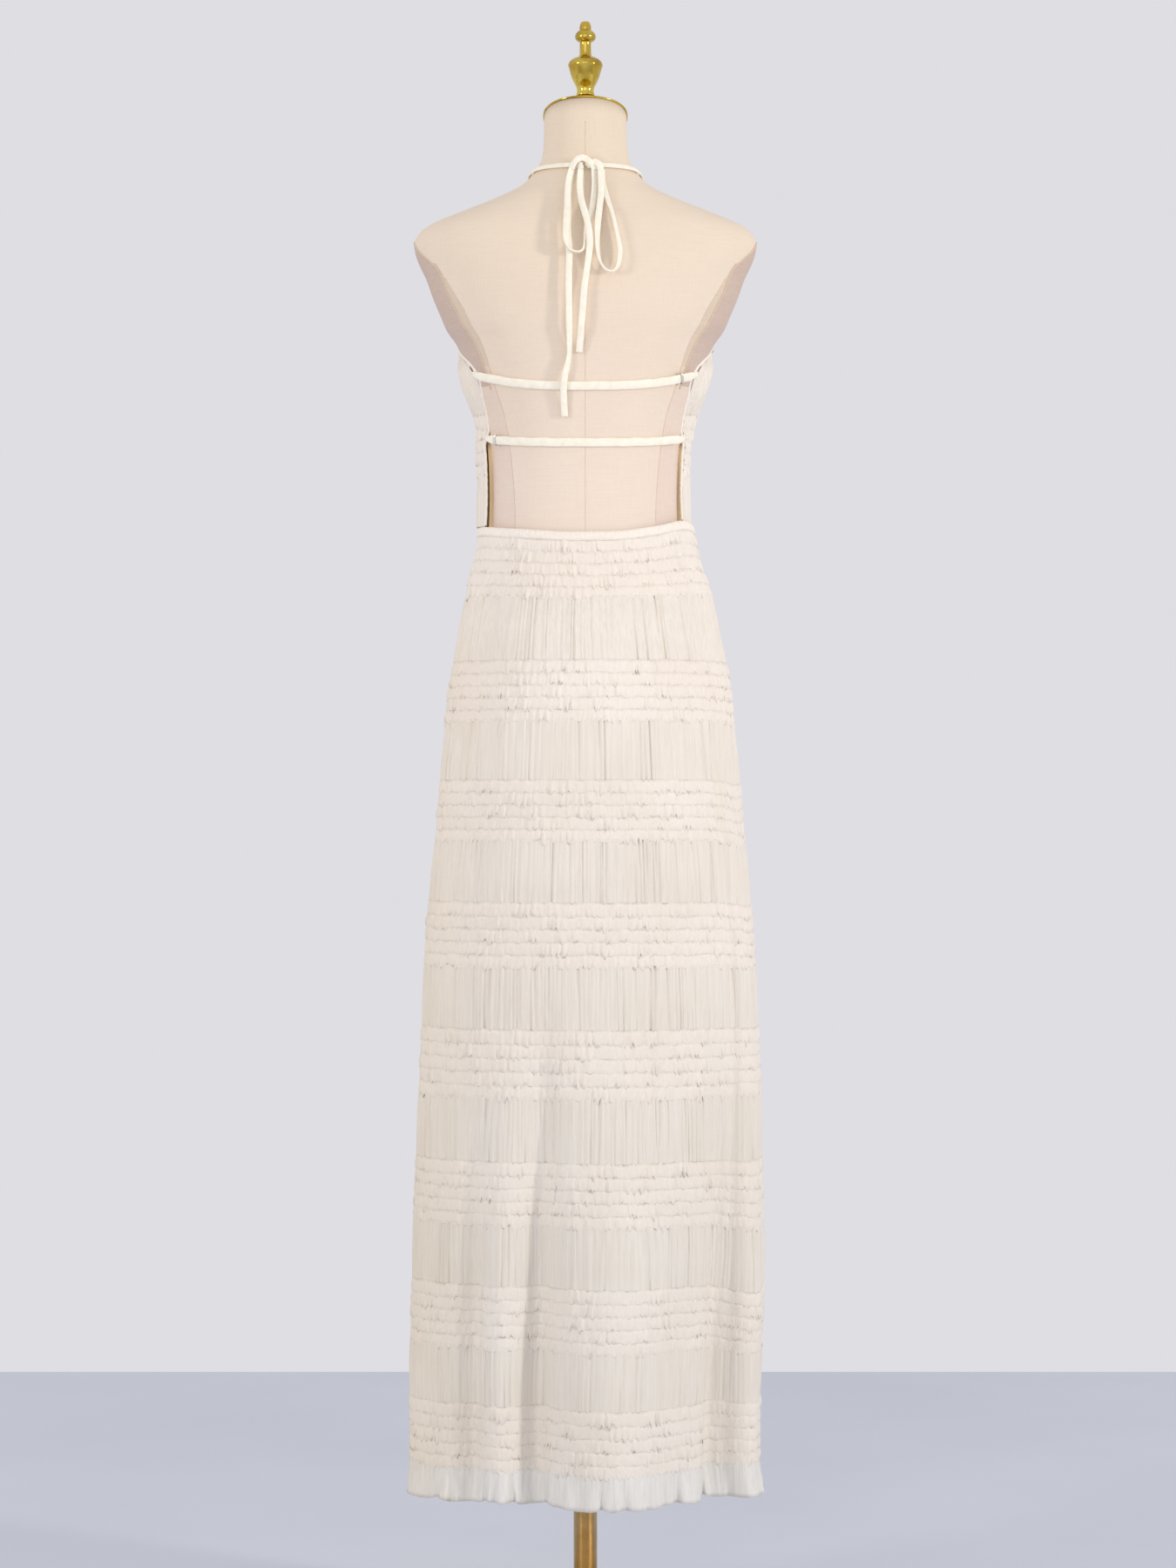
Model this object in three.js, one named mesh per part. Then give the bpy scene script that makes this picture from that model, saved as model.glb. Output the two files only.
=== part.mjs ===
// A long halter dress of ruffled and gathered chiffon, on a limbless dress form with its stand.
// Millimetres, +Z up, the origin on the floor under the pole. The dress's front faces -Y, its
// bare back and the tied bow face +Y.
import * as THREE from "three";
import { mergeVertices } from "three/addons/utils/BufferGeometryUtils.js";

const DEGREE = Math.PI / 180;
const SEAM_GAP = 0.3;
const CLOTH = 2.4; // wall of the skirt and bodice, chiffon on its underlayer

// A table: the names of its columns, then a row for each section or fold.
function table(names, rows) {
  return rows.map((row) => Object.fromEntries(names.map((name, i) => [name, row[i]])));
}

// Sections of the torso: half width, and depth to the front and to the back of the axis.
const FORM = table(
  ["height", "half", "front", "back"],
  [
    [900, 139, 98, 102],
    [960, 141, 100, 108],
    [1030, 136, 98, 109],
    [1100, 126, 92, 100],
    [1150, 116, 87, 91],
    [1200, 107, 82, 83],
    [1240, 104.5, 80, 80],
    [1280, 105, 82, 80],
    [1310, 107, 87, 83],
    [1340, 112, 98, 88],
    [1365, 121, 114, 92],
    [1390, 129, 124, 95],
    [1407, 135, 123, 97],
    [1420, 141, 120, 98],
    [1434, 151, 116, 99],
    [1450, 158, 111, 99],
    [1470, 166.5, 104, 97],
    [1490, 173.5, 98, 94],
    [1508, 182, 91, 90],
    [1521, 186, 86, 85],
    [1534, 185, 80, 80],
    [1548, 171, 73, 74],
    [1562, 138, 67, 66],
    [1577, 100, 62, 59],
    [1591, 71, 58, 54],
    [1605, 57, 55, 51],
    [1620, 48, 52, 49],
    [1640, 45.6, 50, 47],
    [1667, 45, 49, 46],
  ],
);
const FORM_ROUNDNESS = 2.2;
const FORM_COLUMNS = 28;
const NECK_SLOPE = 0.29; // the neck's top plane rises towards the back

// Sections of the skirt's cloth, and how far each lies to the side of the pole.
const SKIRT = table(
  ["height", "half", "front", "back", "shift"],
  [
    [174, 191, 138, 99, 1],
    [206, 190, 138, 99, 1],
    [300, 191, 136, 101, 0],
    [400, 191.5, 134, 104, -3],
    [500, 189.5, 132, 107, -4],
    [600, 186, 130, 110, -5],
    [700, 182, 128, 116, -5],
    [780, 178, 126, 121, -5],
    [835, 173, 123, 124, -5],
    [890, 167, 121, 126, -5],
    [940, 163.5, 119, 127, -5],
    [990, 158, 117, 126, -5],
    [1035, 154.5, 114, 124, -5],
    [1072, 148.5, 111, 119, -5],
    [1110, 140.5, 106, 112, -4],
    [1144, 134, 100, 103, -4],
    [1172, 126, 95, 96, -2],
    [1196, 119.5, 92, 90, -1],
    [1220, 116.5, 90, 86, 0],
  ],
);
const SKIRT_ROUNDNESS = 2.1;

// The skirt's large folds: where round the hem, how wide in degrees, how far out at the hem,
// and the heights where each begins and where it is full.
const FOLDS = table(
  ["angle", "spread", "push", "start", "full"],
  [
    [8, 16, 32, 780, 260],
    [36, 6, -24, 760, 300],
    [60, 7, 8, 720, 300],
    [141, 5, -14, 640, 300],
    [152, 7, 8, 700, 300],
    [165, 5.5, -24, 800, 280],
    [189, 17, 40, 780, 240],
    [231, 5.5, -48, 730, 280],
    [247, 8, 8, 720, 300],
    [300, 6, 8, 720, 300],
    [318, 7, -20, 720, 300],
    [342, 6, -28, 780, 280],
  ],
);

// How the skirt's seams sag: at the back of the waist, and on the panel beside the deep fold.
const SEAM_SAGS = table(
  ["angle", "spread", "sag", "top", "middle", "bottom"],
  [
    [180, 52, 10, 1600, 1220, 1072],
    [247, 18, 13, 620, 395, 215],
  ],
);

// Ruffle bands of the skirt from the waist down; the gathered tiers fill the heights between.
const SKIRT_BANDS = table(
  ["top", "bottom", "columns"],
  [
    [1211.7, 1143, 24],
    [1072, 1007, 24],
    [944.6, 879.3, 24],
    [813.8, 744.8, 36],
    [678.2, 604.5, 36],
    [536.8, 468.7, 36],
    [404, 336.5, 36],
    [276, 206.2, 36],
  ],
);
const WAISTBAND = { bottom: 1212, top: 1219.7, columns: 36, proud: 1.2 };
const RUFFLE_ROWS = 5;
const RUFFLE_PROUD = 4.2;
const TIER = { waves: 9, depth: 2.4 };
const FLOUNCE = { top: 205.9, bottom: 172, waves: 16, depth: 5, flare: 5 };
const POINTS_PER_WAVE = 4;

// Bodice: how far its cloth stands off the form, and where its edge lies round from the front.
const BODICE_EASE = table(
  ["height", "ease"],
  [
    [1220, 9.5],
    [1300, 8],
    [1348, 10],
    [1380, 10],
    [1407, 7],
    [1425, 5.4],
    [1512, 5],
  ],
);
const BODICE_EDGE = table(
  ["height", "angle"],
  [
    [1220, 110],
    [1300, 109.5],
    [1334, 107.5],
    [1352, 109],
    [1372, 113],
    [1383, 112.5],
    [1395, 105],
    [1407, 92],
    [1423, 77],
    [1444, 60],
    [1480, 38],
    [1512, 17],
  ],
);
const BODICE_PIECES = table(
  ["name", "bottom", "top", "kind"],
  [
    ["bodice_tier_1", 1220, 1274.5, "tier"],
    ["bodice_band_1", 1274.8, 1340.5, "band"],
    ["bodice_tier_2", 1340.8, 1409.5, "tier"],
    ["bodice_band_2", 1409.8, 1475.5, "band"],
    ["bodice_tier_3", 1475.8, 1512, "tier"],
  ],
);
const BODICE_TIER = { columns: 24, waves: 6, depth: 1.8, rows: 5 };
const BODICE_BAND_COLUMNS = 12;
const BINDING = { width: 4, thickness: 2.4, gap: 0.8, steps: 26 };

// Straps across the back: height at the centre, half angle they span, and their size.
const BACK_STRAPS = table(
  ["name", "height", "reach", "width", "rise"],
  [
    ["back_strap_upper", 1364.5, 63.3, 9.5, 17],
    ["back_strap_lower", 1305, 67.3, 8.7, 8],
  ],
);
const BACK_STRAP = { thickness: 1.6, lift: 1.7, steps: 22, lifted: 6.5, curve: 2.2 };

// Halter straps from the bodice's front corners, up and round the neck to the knot.
const NECK_STRAP_ROUTE = table(
  ["height", "angle"],
  [
    [1518.2, 17.6],
    [1530, 17.4],
    [1545, 18.5],
    [1558, 21.8],
    [1570, 28.7],
    [1580, 38],
    [1590, 50.8],
    [1598, 62],
    [1604, 78],
    [1607, 95],
    [1609, 112],
    [1610, 130],
    [1610, 147],
  ],
);
const NECK_STRAP = { width: 7.5, thickness: 1.5, lift: 2.8 };
const NECK_STRAP_END = { left: 160.5, right: 158 };

// The knot at the nape, and the bow's four free strands below it. Each strand's points are the
// place across the back, the height, and how far its middle lies off the form.
const KNOT = { left: 18, right: -20.5, bottom: 1602.5, top: 1616, back: 52.2, depth: 10, edge: 3 };
const STRAND = { radius: 2.2, sides: 8 };
const STRANDS = {
  tie_tail_long: [
    [14, 1601.7, 3.2],
    [16, 1588, 3.1],
    [17.5, 1572, 3],
    [18.5, 1552, 3],
    [18.8, 1530, 3],
    [17, 1507, 3],
    [17.5, 1486, 3],
    [17.6, 1465, 3],
    [17.3, 1446, 3],
    [17.2, 1428, 3.2],
    [16.8, 1412, 3.6],
    [17.2, 1397, 4.8],
    [19, 1386, 6.2],
    [22, 1374, 6.6],
    [23.2, 1362, 6],
    [22.8, 1349, 4.6],
    [22, 1332, 3.6],
  ],
  tie_tail_short: [
    [5, 1601.7, 7],
    [6, 1585, 7.6],
    [5, 1571, 8.2],
    [2.8, 1559.5, 8.5],
    [0, 1549, 8.6],
    [-2.6, 1538, 8.6],
    [-4.6, 1524, 8.2],
    [-4.6, 1512, 7.2],
    [-3.4, 1500, 5.2],
    [-1.4, 1485, 3.4],
    [0.9, 1469, 3],
    [2.5, 1449, 3],
    [4.1, 1428, 3],
    [5.4, 1413, 3],
    [6.5, 1399.5, 3],
  ],
  tie_loop_left: [
    [14.8, 1601.7, 8.4],
    [18, 1587, 8.4],
    [19, 1571, 8.4],
    [19.6, 1555, 8.4],
    [20.4, 1538, 8.4],
    [20.5, 1524, 8.4],
    [18.8, 1514, 8.2],
    [14.4, 1508, 7.8],
    [8.4, 1506, 6.4],
    [2.8, 1508.5, 5],
    [-0.4, 1516, 3.8],
    [-1.6, 1527, 3.2],
    [-2.8, 1539, 3],
    [-5.2, 1549, 3],
    [-7.5, 1559.5, 3],
    [-9.3, 1572, 3],
    [-10, 1585, 3.2],
    [-9.5, 1601.7, 3.8],
  ],
  tie_loop_right: [
    [-16.4, 1601.7, 8.6],
    [-17, 1587, 8.4],
    [-16.9, 1574.5, 8],
    [-15.2, 1558, 7],
    [-13.7, 1543.6, 6],
    [-12.9, 1532, 5.2],
    [-12.7, 1521, 4.4],
    [-13.2, 1510, 4],
    [-14.9, 1499.7, 3.8],
    [-18.5, 1491, 3.8],
    [-23.2, 1486.4, 3.8],
    [-28, 1485, 3.8],
    [-32.6, 1488, 3.6],
    [-35.8, 1495, 3.5],
    [-37.2, 1508, 3.2],
    [-35.6, 1520, 3],
    [-33.4, 1531, 3],
    [-30.6, 1544, 3],
    [-27.6, 1556, 3],
    [-24.2, 1566, 3],
    [-21, 1576, 3],
    [-18.4, 1587, 3],
    [-17.6, 1601.7, 3.2],
  ],
};

// Small metal rings round the strap ends.
const STRAP_RINGS = table(
  ["name", "strap", "angle", "height"],
  [
    ["strap_ring_upper", "back_strap_upper", 234, 1379],
    ["strap_ring_lower", "back_strap_lower", 117, 1312],
  ],
);
const RING = { play: 0.5, wall: 1.3, length: 3.4 };

// The neck's brass disc, the finial, and the stand.
const CAP = { rim: 2.5, thickness: 5, boss: 10, bossTop: 1690.4 };
const FINIAL_PROFILE = [
  [0, 1690.7],
  [9.8, 1690.7],
  [9.8, 1693.2],
  [9.2, 1695.4],
  [9.4, 1698],
  [10.2, 1700.6],
  [12.7, 1705.4],
  [15.3, 1711.6],
  [17.3, 1718.4],
  [18.4, 1722.2],
  [18.9, 1723.6],
  [18.7, 1725.4],
  [17.2, 1728.4],
  [13.6, 1731.2],
  [9, 1733],
  [7.2, 1734.6],
  [6.4, 1737],
  [6.3, 1748.8],
  [8.8, 1750.4],
  [10.8, 1752.6],
  [11.4, 1755.4],
  [10.6, 1758.4],
  [8.6, 1760.8],
  [6.5, 1762.4],
  [6.4, 1765.4],
  [5.7, 1768.8],
  [4.2, 1771.4],
  [0, 1772.4],
];
const POLE = { radius: 12.8, bottom: 22.3, top: 888 };
const COLLAR_PROFILE = [
  [13.1, 862],
  [20, 862],
  [20, 888.3],
  [46, 892.5],
  [46, 899.7],
  [0, 899.7],
  [0, 888.3],
  [13.1, 888.3],
];
const BASE_PROFILE = [
  [0, 0],
  [168, 0],
  [170, 2],
  [170, 8],
  [164, 11],
  [44, 15],
  [26, 22],
  [0, 22],
];

const CREAM = 0xeee4d8;
const LINEN = 0xe6d7c4;
const BRASS = 0xc8a94a;
const BRONZE = 0x937a50;

function material(color, roughness, metalness) {
  return new THREE.MeshStandardMaterial({ color, roughness, metalness });
}

const part = new THREE.Group();

function add(name, geometry, look) {
  const mesh = new THREE.Mesh(geometry, look);
  mesh.name = name;
  part.add(mesh);
}

// A smooth curve through one column of a table with rows in rising height.
function smooth(rows, column, height) {
  const last = rows.length - 1;
  let i = 0;
  while (i < last - 1 && height > rows[i + 1].height) i += 1;
  const at = (k) => rows[Math.min(Math.max(k, 0), last)];
  const slope = (k) => {
    const before = at(k - 1);
    const after = at(k + 1);
    return (after[column] - before[column]) / (after.height - before.height);
  };
  const low = at(i);
  const high = at(i + 1);
  const span = high.height - low.height;
  const t = Math.min(Math.max((height - low.height) / span, 0), 1);
  const rise = t * t * (3 - 2 * t);
  const value = low[column] * (1 - rise) + high[column] * rise;
  const leave = t * (1 - t) * (1 - t) * span * slope(i);
  const arrive = t * t * (1 - t) * span * slope(i + 1);
  return value + leave - arrive;
}

// A point on a rounded section. The angle runs from the front, -Y, towards +X, and out is how
// far the point is moved along the section's own normal.
function sectionPoint(section, roundness, angle, out) {
  const s = Math.sin(angle);
  const c = -Math.cos(angle);
  const depth = c < 0 ? section.front : section.back;
  const power = 2 / roundness;
  const across = Math.sign(s) * Math.abs(s) ** power;
  const along = Math.sign(c) * Math.abs(c) ** power;
  const normal = new THREE.Vector2(
    (Math.sign(across) * Math.abs(across) ** (roundness - 1)) / section.half,
    (Math.sign(along) * Math.abs(along) ** (roundness - 1)) / depth,
  ).normalize();
  return new THREE.Vector2(
    (section.shift || 0) + section.half * across + normal.x * out,
    depth * along + normal.y * out,
  );
}

function formSection(height) {
  return {
    half: smooth(FORM, "half", height),
    front: smooth(FORM, "front", height),
    back: smooth(FORM, "back", height),
  };
}

function formPoint(angle, height, out) {
  const p = sectionPoint(formSection(height), FORM_ROUNDNESS, angle, out);
  return new THREE.Vector3(p.x, p.y, height);
}

// The form's depth behind a place across its back.
function formBack(across, height) {
  const section = formSection(height);
  const share = Math.abs(across / section.half) ** FORM_ROUNDNESS;
  return section.back * (1 - share) ** (1 / FORM_ROUNDNESS);
}

function ease(t) {
  const u = Math.min(Math.max(t, 0), 1);
  return u * u * (3 - 2 * u);
}

// A bump of one at its angle, falling away on both sides.
function bump(angle, centre, spread) {
  const turn = angle / DEGREE - centre;
  const away = turn - 360 * Math.round(turn / 360);
  return Math.exp(-((away / spread) ** 2));
}

function foldPush(angle, height) {
  return FOLDS.reduce((sum, fold) => {
    const grown = ease((fold.start - height) / (fold.start - fold.full));
    return sum + fold.push * grown * bump(angle, fold.angle, fold.spread);
  }, 0);
}

function seamSag(angle, height) {
  return SEAM_SAGS.reduce((sum, row) => {
    const rising = ease((height - row.bottom) / (row.middle - row.bottom));
    const falling = ease((row.top - height) / (row.top - row.middle));
    return sum + row.sag * Math.min(rising, falling) * bump(angle, row.angle, row.spread);
  }, 0);
}

function skirtPoint(angle, height, out) {
  const section = {
    half: smooth(SKIRT, "half", height),
    front: smooth(SKIRT, "front", height),
    back: smooth(SKIRT, "back", height),
    shift: smooth(SKIRT, "shift", height),
  };
  const p = sectionPoint(section, SKIRT_ROUNDNESS, angle, foldPush(angle, height) + out);
  return new THREE.Vector3(p.x, p.y, height - seamSag(angle, height));
}

function bodicePoint(angle, height, out) {
  const p = formPoint(angle, height, smooth(BODICE_EASE, "ease", height) + out);
  return new THREE.Vector3(p.x, p.y, height - seamSag(angle, height) * waistShare(height));
}

// The bodice's lowest seam follows the waistband's sag, and its higher seams lie level.
function waistShare(height) {
  return ease((1274 - height) / (1274 - 1220));
}

function bodiceEdge(height) {
  return smooth(BODICE_EDGE, "angle", height) * DEGREE;
}

// A closed solid from triangles whose corners are points.
function solid(triangles) {
  const geometry = new THREE.BufferGeometry().setFromPoints(triangles.flat());
  return mergeVertices(geometry, 1e-4);
}

function quad(triangles, a, b, c, d) {
  triangles.push([a, b, c], [a, c, d]);
}

// A cloth wall between two grids of points, each a list of rows from the bottom up, with the
// same columns in the direction of rising angle. A ring joins its last column to its first.
function wall(outer, inner, ring) {
  const triangles = [];
  const columns = outer[0].length;
  const spans = ring ? columns : columns - 1;
  const next = (j) => (j + 1) % columns;
  for (let j = 0; j < spans; j += 1) {
    const k = next(j);
    for (let i = 0; i + 1 < outer.length; i += 1)
      quad(triangles, outer[i][j], outer[i][k], outer[i + 1][k], outer[i + 1][j]);
    for (let i = 0; i + 1 < inner.length; i += 1)
      quad(triangles, inner[i][k], inner[i][j], inner[i + 1][j], inner[i + 1][k]);
    const top = outer.length - 1;
    const roof = inner.length - 1;
    quad(triangles, inner[0][j], inner[0][k], outer[0][k], outer[0][j]);
    quad(triangles, outer[top][j], outer[top][k], inner[roof][k], inner[roof][j]);
  }
  if (!ring) {
    closeSide(triangles, outer, inner, 0, false);
    closeSide(triangles, outer, inner, columns - 1, true);
  }
  return solid(triangles);
}

// Closes one free edge of a wall, where its two grids may have different rows.
function closeSide(triangles, outer, inner, column, far) {
  let i = 0;
  let j = 0;
  while (i + 1 < outer.length || j + 1 < inner.length) {
    const a = outer[i][column];
    const b = inner[j][column];
    const outerNext = i + 1 < outer.length ? outer[i + 1][column].z : Infinity;
    const innerNext = j + 1 < inner.length ? inner[j + 1][column].z : Infinity;
    const c = outerNext <= innerNext ? outer[i + 1][column] : inner[j + 1][column];
    triangles.push(far ? [a, b, c] : [b, a, c]);
    if (outerNext <= innerNext) i += 1;
    else j += 1;
  }
}

function range(count) {
  return [...Array(count).keys()];
}

function ringAngles(columns) {
  return range(columns).map((j) => (j / columns) * 2 * Math.PI);
}

// Rows of narrow ruffles: each stands out at its lower edge and is caught in at its top.
function ruffleRows(bottom, top) {
  const pitch = (top - bottom) / RUFFLE_ROWS;
  return range(RUFFLE_ROWS).flatMap((row) => {
    const foot = bottom + row * pitch;
    const gather = row === RUFFLE_ROWS - 1 ? top : foot + pitch * 0.86;
    return [
      { height: foot, out: RUFFLE_PROUD },
      { height: gather, out: 0 },
    ];
  });
}

function skirtBand(name, band) {
  const angles = ringAngles(band.columns);
  const outer = ruffleRows(band.bottom, band.top).map((row) =>
    angles.map((angle) => skirtPoint(angle, row.height, row.out)),
  );
  const inner = [band.bottom, band.top].map((height) =>
    angles.map((angle) => skirtPoint(angle, height, -CLOTH)),
  );
  add(name, wall(outer, inner, true), material(CREAM, 0.8, 0));
}

// A gathered tier: one wave of cloth after another all the way round.
function gathered(point, angles, heights, waveOut) {
  const grid = (offset) =>
    heights.map((height) => angles.map((angle, j) => point(angle, height, waveOut(j) + offset)));
  return [grid(CLOTH / 2), grid(-CLOTH / 2)];
}

function skirtTier(name, top, bottom) {
  const angles = ringAngles(TIER.waves * POINTS_PER_WAVE);
  const waveOut = (j) => TIER.depth * Math.cos((j / POINTS_PER_WAVE) * 2 * Math.PI);
  const [outer, inner] = gathered(skirtPoint, angles, [bottom, top], waveOut);
  add(name, wall(outer, inner, true), material(CREAM, 0.85, 0));
}

function waistband() {
  const angles = ringAngles(WAISTBAND.columns);
  const heights = [WAISTBAND.bottom, WAISTBAND.top];
  const grid = (out) => heights.map((height) => angles.map((a) => skirtPoint(a, height, out)));
  const geometry = wall(grid(WAISTBAND.proud), grid(WAISTBAND.proud - CLOTH), true);
  add("waistband", geometry, material(CREAM, 0.7, 0));
}

// The flounce starts plain under the last ruffle and ripples more towards its free edge.
function hemFlounce() {
  const angles = ringAngles(FLOUNCE.waves * POINTS_PER_WAVE);
  const wave = (j) => Math.cos((j / POINTS_PER_WAVE) * 2 * Math.PI);
  const row = (height, ripple, flare, offset) =>
    angles.map((angle, j) => skirtPoint(angle, height, ripple * wave(j) + flare + offset));
  const grid = (offset) => [
    row(FLOUNCE.bottom, FLOUNCE.depth, FLOUNCE.flare, offset),
    row(FLOUNCE.top, FLOUNCE.depth * 0.3, 0, offset),
  ];
  add("hem_flounce", wall(grid(CLOTH / 2), grid(-CLOTH / 2), true), material(CREAM, 0.8, 0));
}

function bodicePiece(piece) {
  const banded = piece.kind === "band";
  const columns = banded ? BODICE_BAND_COLUMNS : BODICE_TIER.columns;
  const spread = (height, j) => bodiceEdge(height) * ((2 * j) / columns - 1);
  const rows = banded
    ? ruffleRows(piece.bottom, piece.top)
    : range(BODICE_TIER.rows).map((i) => ({
        height: piece.bottom + ((piece.top - piece.bottom) * i) / (BODICE_TIER.rows - 1),
        out: 0,
      }));
  const turns = (2 * Math.PI * BODICE_TIER.waves) / columns;
  const wave = (j) => (banded ? 0 : BODICE_TIER.depth * Math.cos(turns * j));
  const grid = (offset, ruffled) =>
    rows.map((row) =>
      range(columns + 1).map((j) => {
        const out = (ruffled ? row.out : 0) + wave(j) + offset;
        return bodicePoint(spread(row.height, j), row.height, out);
      }),
    );
  const geometry = wall(grid(CLOTH / 2, true), grid(-CLOTH / 2, false), false);
  add(piece.name, geometry, material(CREAM, 0.8, 0));
}

// A point and the outward normal of a surface given by angle and height.
function surfaceAt(point, angle, height, out) {
  const step = 0.01;
  const around = point(angle + step, height, out).sub(point(angle - step, height, out));
  const up = point(angle, height + 1, out).sub(point(angle, height - 1, out));
  return { point: point(angle, height, out), normal: around.cross(up).normalize() };
}

// A flat strip along a path of points that each have a normal.
function ribbon(path, width, thickness) {
  const triangles = [];
  const corners = path.map((at, i) => {
    const before = path[Math.max(i - 1, 0)].point;
    const after = path[Math.min(i + 1, path.length - 1)].point;
    const tangent = after.clone().sub(before).normalize();
    const side = tangent.clone().cross(at.normal).normalize();
    const face = side.clone().cross(tangent).normalize();
    const corner = (u, v) =>
      at.point
        .clone()
        .addScaledVector(side, (u * width) / 2)
        .addScaledVector(face, (v * thickness) / 2);
    return [corner(-1, -1), corner(1, -1), corner(1, 1), corner(-1, 1)];
  });
  for (let i = 0; i + 1 < corners.length; i += 1)
    for (let k = 0; k < 4; k += 1) {
      const m = (k + 1) % 4;
      quad(triangles, corners[i][m], corners[i][k], corners[i + 1][k], corners[i + 1][m]);
    }
  const [a, b, c, d] = corners[0];
  quad(triangles, a, b, c, d);
  const [e, f, g, h] = corners[corners.length - 1];
  quad(triangles, h, g, f, e);
  return solid(triangles);
}

// A binding beside a free edge of the bodice: the path is moved sideways off the edge.
function bindingPath(edge, outward) {
  return edge.map((at, i) => {
    const before = edge[Math.max(i - 1, 0)].point;
    const after = edge[Math.min(i + 1, edge.length - 1)].point;
    const tangent = after.clone().sub(before).normalize();
    const side = tangent.cross(at.normal).normalize().multiplyScalar(outward);
    const move = BINDING.gap + BINDING.width / 2;
    return { point: at.point.clone().addScaledVector(side, move), normal: at.normal };
  });
}

function sideBinding(name, hand) {
  const low = BODICE_PIECES[0].bottom + 1;
  const high = BODICE_PIECES[BODICE_PIECES.length - 1].top;
  const edge = range(BINDING.steps + 1).map((i) => {
    const height = low + ((high - low) * i) / BINDING.steps;
    return surfaceAt(bodicePoint, hand * bodiceEdge(height), height, 0);
  });
  const geometry = ribbon(bindingPath(edge, hand), BINDING.width, BINDING.thickness);
  add(name, geometry, material(CREAM, 0.7, 0));
}

function necklineBinding() {
  const height = BODICE_PIECES[BODICE_PIECES.length - 1].top;
  const reach = bodiceEdge(height);
  const steps = 8;
  const edge = range(steps + 1).map((i) =>
    surfaceAt(bodicePoint, reach * ((2 * i) / steps - 1), height, 0),
  );
  const path = edge.map((at) => ({
    point: at.point.clone().setZ(height + BINDING.width / 2 + 1),
    normal: new THREE.Vector3(at.normal.x, at.normal.y, 0).normalize(),
  }));
  add("neckline_binding", ribbon(path, BINDING.width, BINDING.thickness), material(CREAM, 0.7, 0));
}

// A back strap lies on the form and lifts towards the bodice's edges that it is sewn to.
function backStrapPath(strap) {
  return range(BACK_STRAP.steps + 1).map((i) => {
    const share = (2 * i) / BACK_STRAP.steps - 1;
    const angle = (180 + strap.reach * share) * DEGREE;
    const height = strap.height + strap.rise * Math.abs(share) ** BACK_STRAP.curve;
    const lift = BACK_STRAP.lift + BACK_STRAP.lifted * ease((Math.abs(share) - 0.6) / 0.4);
    return surfaceAt(formPoint, angle, height, lift);
  });
}

function backStrap(strap) {
  const geometry = ribbon(backStrapPath(strap), strap.width, BACK_STRAP.thickness);
  add(strap.name, geometry, material(CREAM, 0.45, 0));
}

// A small square ring that the strap passes through.
function strapRing(ring) {
  const strap = BACK_STRAPS.find((row) => row.name === ring.strap);
  const path = backStrapPath(strap);
  const nearest = path.reduce((best, at, i) => {
    const far = (k) => Math.abs(path[k].point.x - formPoint(ring.angle * DEGREE, ring.height, 0).x);
    return far(i) < far(best) ? i : best;
  }, 0);
  const at = path[nearest];
  const tangent = path[nearest + 1].point.clone().sub(path[nearest - 1].point).normalize();
  const side = tangent.clone().cross(at.normal).normalize();
  const face = side.clone().cross(tangent).normalize();
  const holeWidth = strap.width / 2 + RING.play;
  const holeDepth = BACK_STRAP.thickness / 2 + RING.play;
  const outline = (w, d) => [
    new THREE.Vector2(-w, -d),
    new THREE.Vector2(w, -d),
    new THREE.Vector2(w, d),
    new THREE.Vector2(-w, d),
  ];
  const shape = new THREE.Shape(outline(holeWidth + RING.wall, holeDepth + RING.wall));
  shape.holes.push(new THREE.Path(outline(holeWidth, holeDepth).reverse()));
  const geometry = new THREE.ExtrudeGeometry(shape, {
    depth: RING.length,
    bevelEnabled: false,
  });
  geometry.translate(0, 0, -RING.length / 2);
  geometry.applyMatrix4(new THREE.Matrix4().makeBasis(side, face, side.clone().cross(face)));
  geometry.translate(at.point.x, at.point.y, at.point.z);
  add(ring.name, geometry, material(0xd8d2c6, 0.25, 1));
}

function neckStrap(name, hand, endAngle) {
  const rows = [...NECK_STRAP_ROUTE, { height: 1610, angle: endAngle }];
  const path = rows.map((row) =>
    surfaceAt(formPoint, hand * row.angle * DEGREE, row.height, NECK_STRAP.lift),
  );
  add(name, ribbon(path, NECK_STRAP.width, NECK_STRAP.thickness), material(CREAM, 0.45, 0));
}

function tieKnot() {
  const shape = new THREE.Shape();
  const { left, right, bottom, top, edge } = KNOT;
  shape.moveTo(-left + edge, bottom);
  shape.lineTo(-right - edge, bottom);
  shape.lineTo(-right, bottom + edge);
  shape.lineTo(-right, top - edge);
  shape.lineTo(-right - edge, top);
  shape.lineTo(-left + edge, top);
  shape.lineTo(-left, top - edge);
  shape.lineTo(-left, bottom + edge);
  const geometry = new THREE.ExtrudeGeometry(shape, { depth: KNOT.depth, bevelEnabled: false });
  // The outline is drawn as seen from behind, and stands up facing the back.
  const axes = [
    new THREE.Vector3(-1, 0, 0),
    new THREE.Vector3(0, 0, 1),
    new THREE.Vector3(0, 1, 0),
  ];
  geometry.applyMatrix4(new THREE.Matrix4().makeBasis(...axes));
  geometry.translate(0, KNOT.back, 0);
  add("tie_knot", geometry, material(CREAM, 0.45, 0));
}

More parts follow.
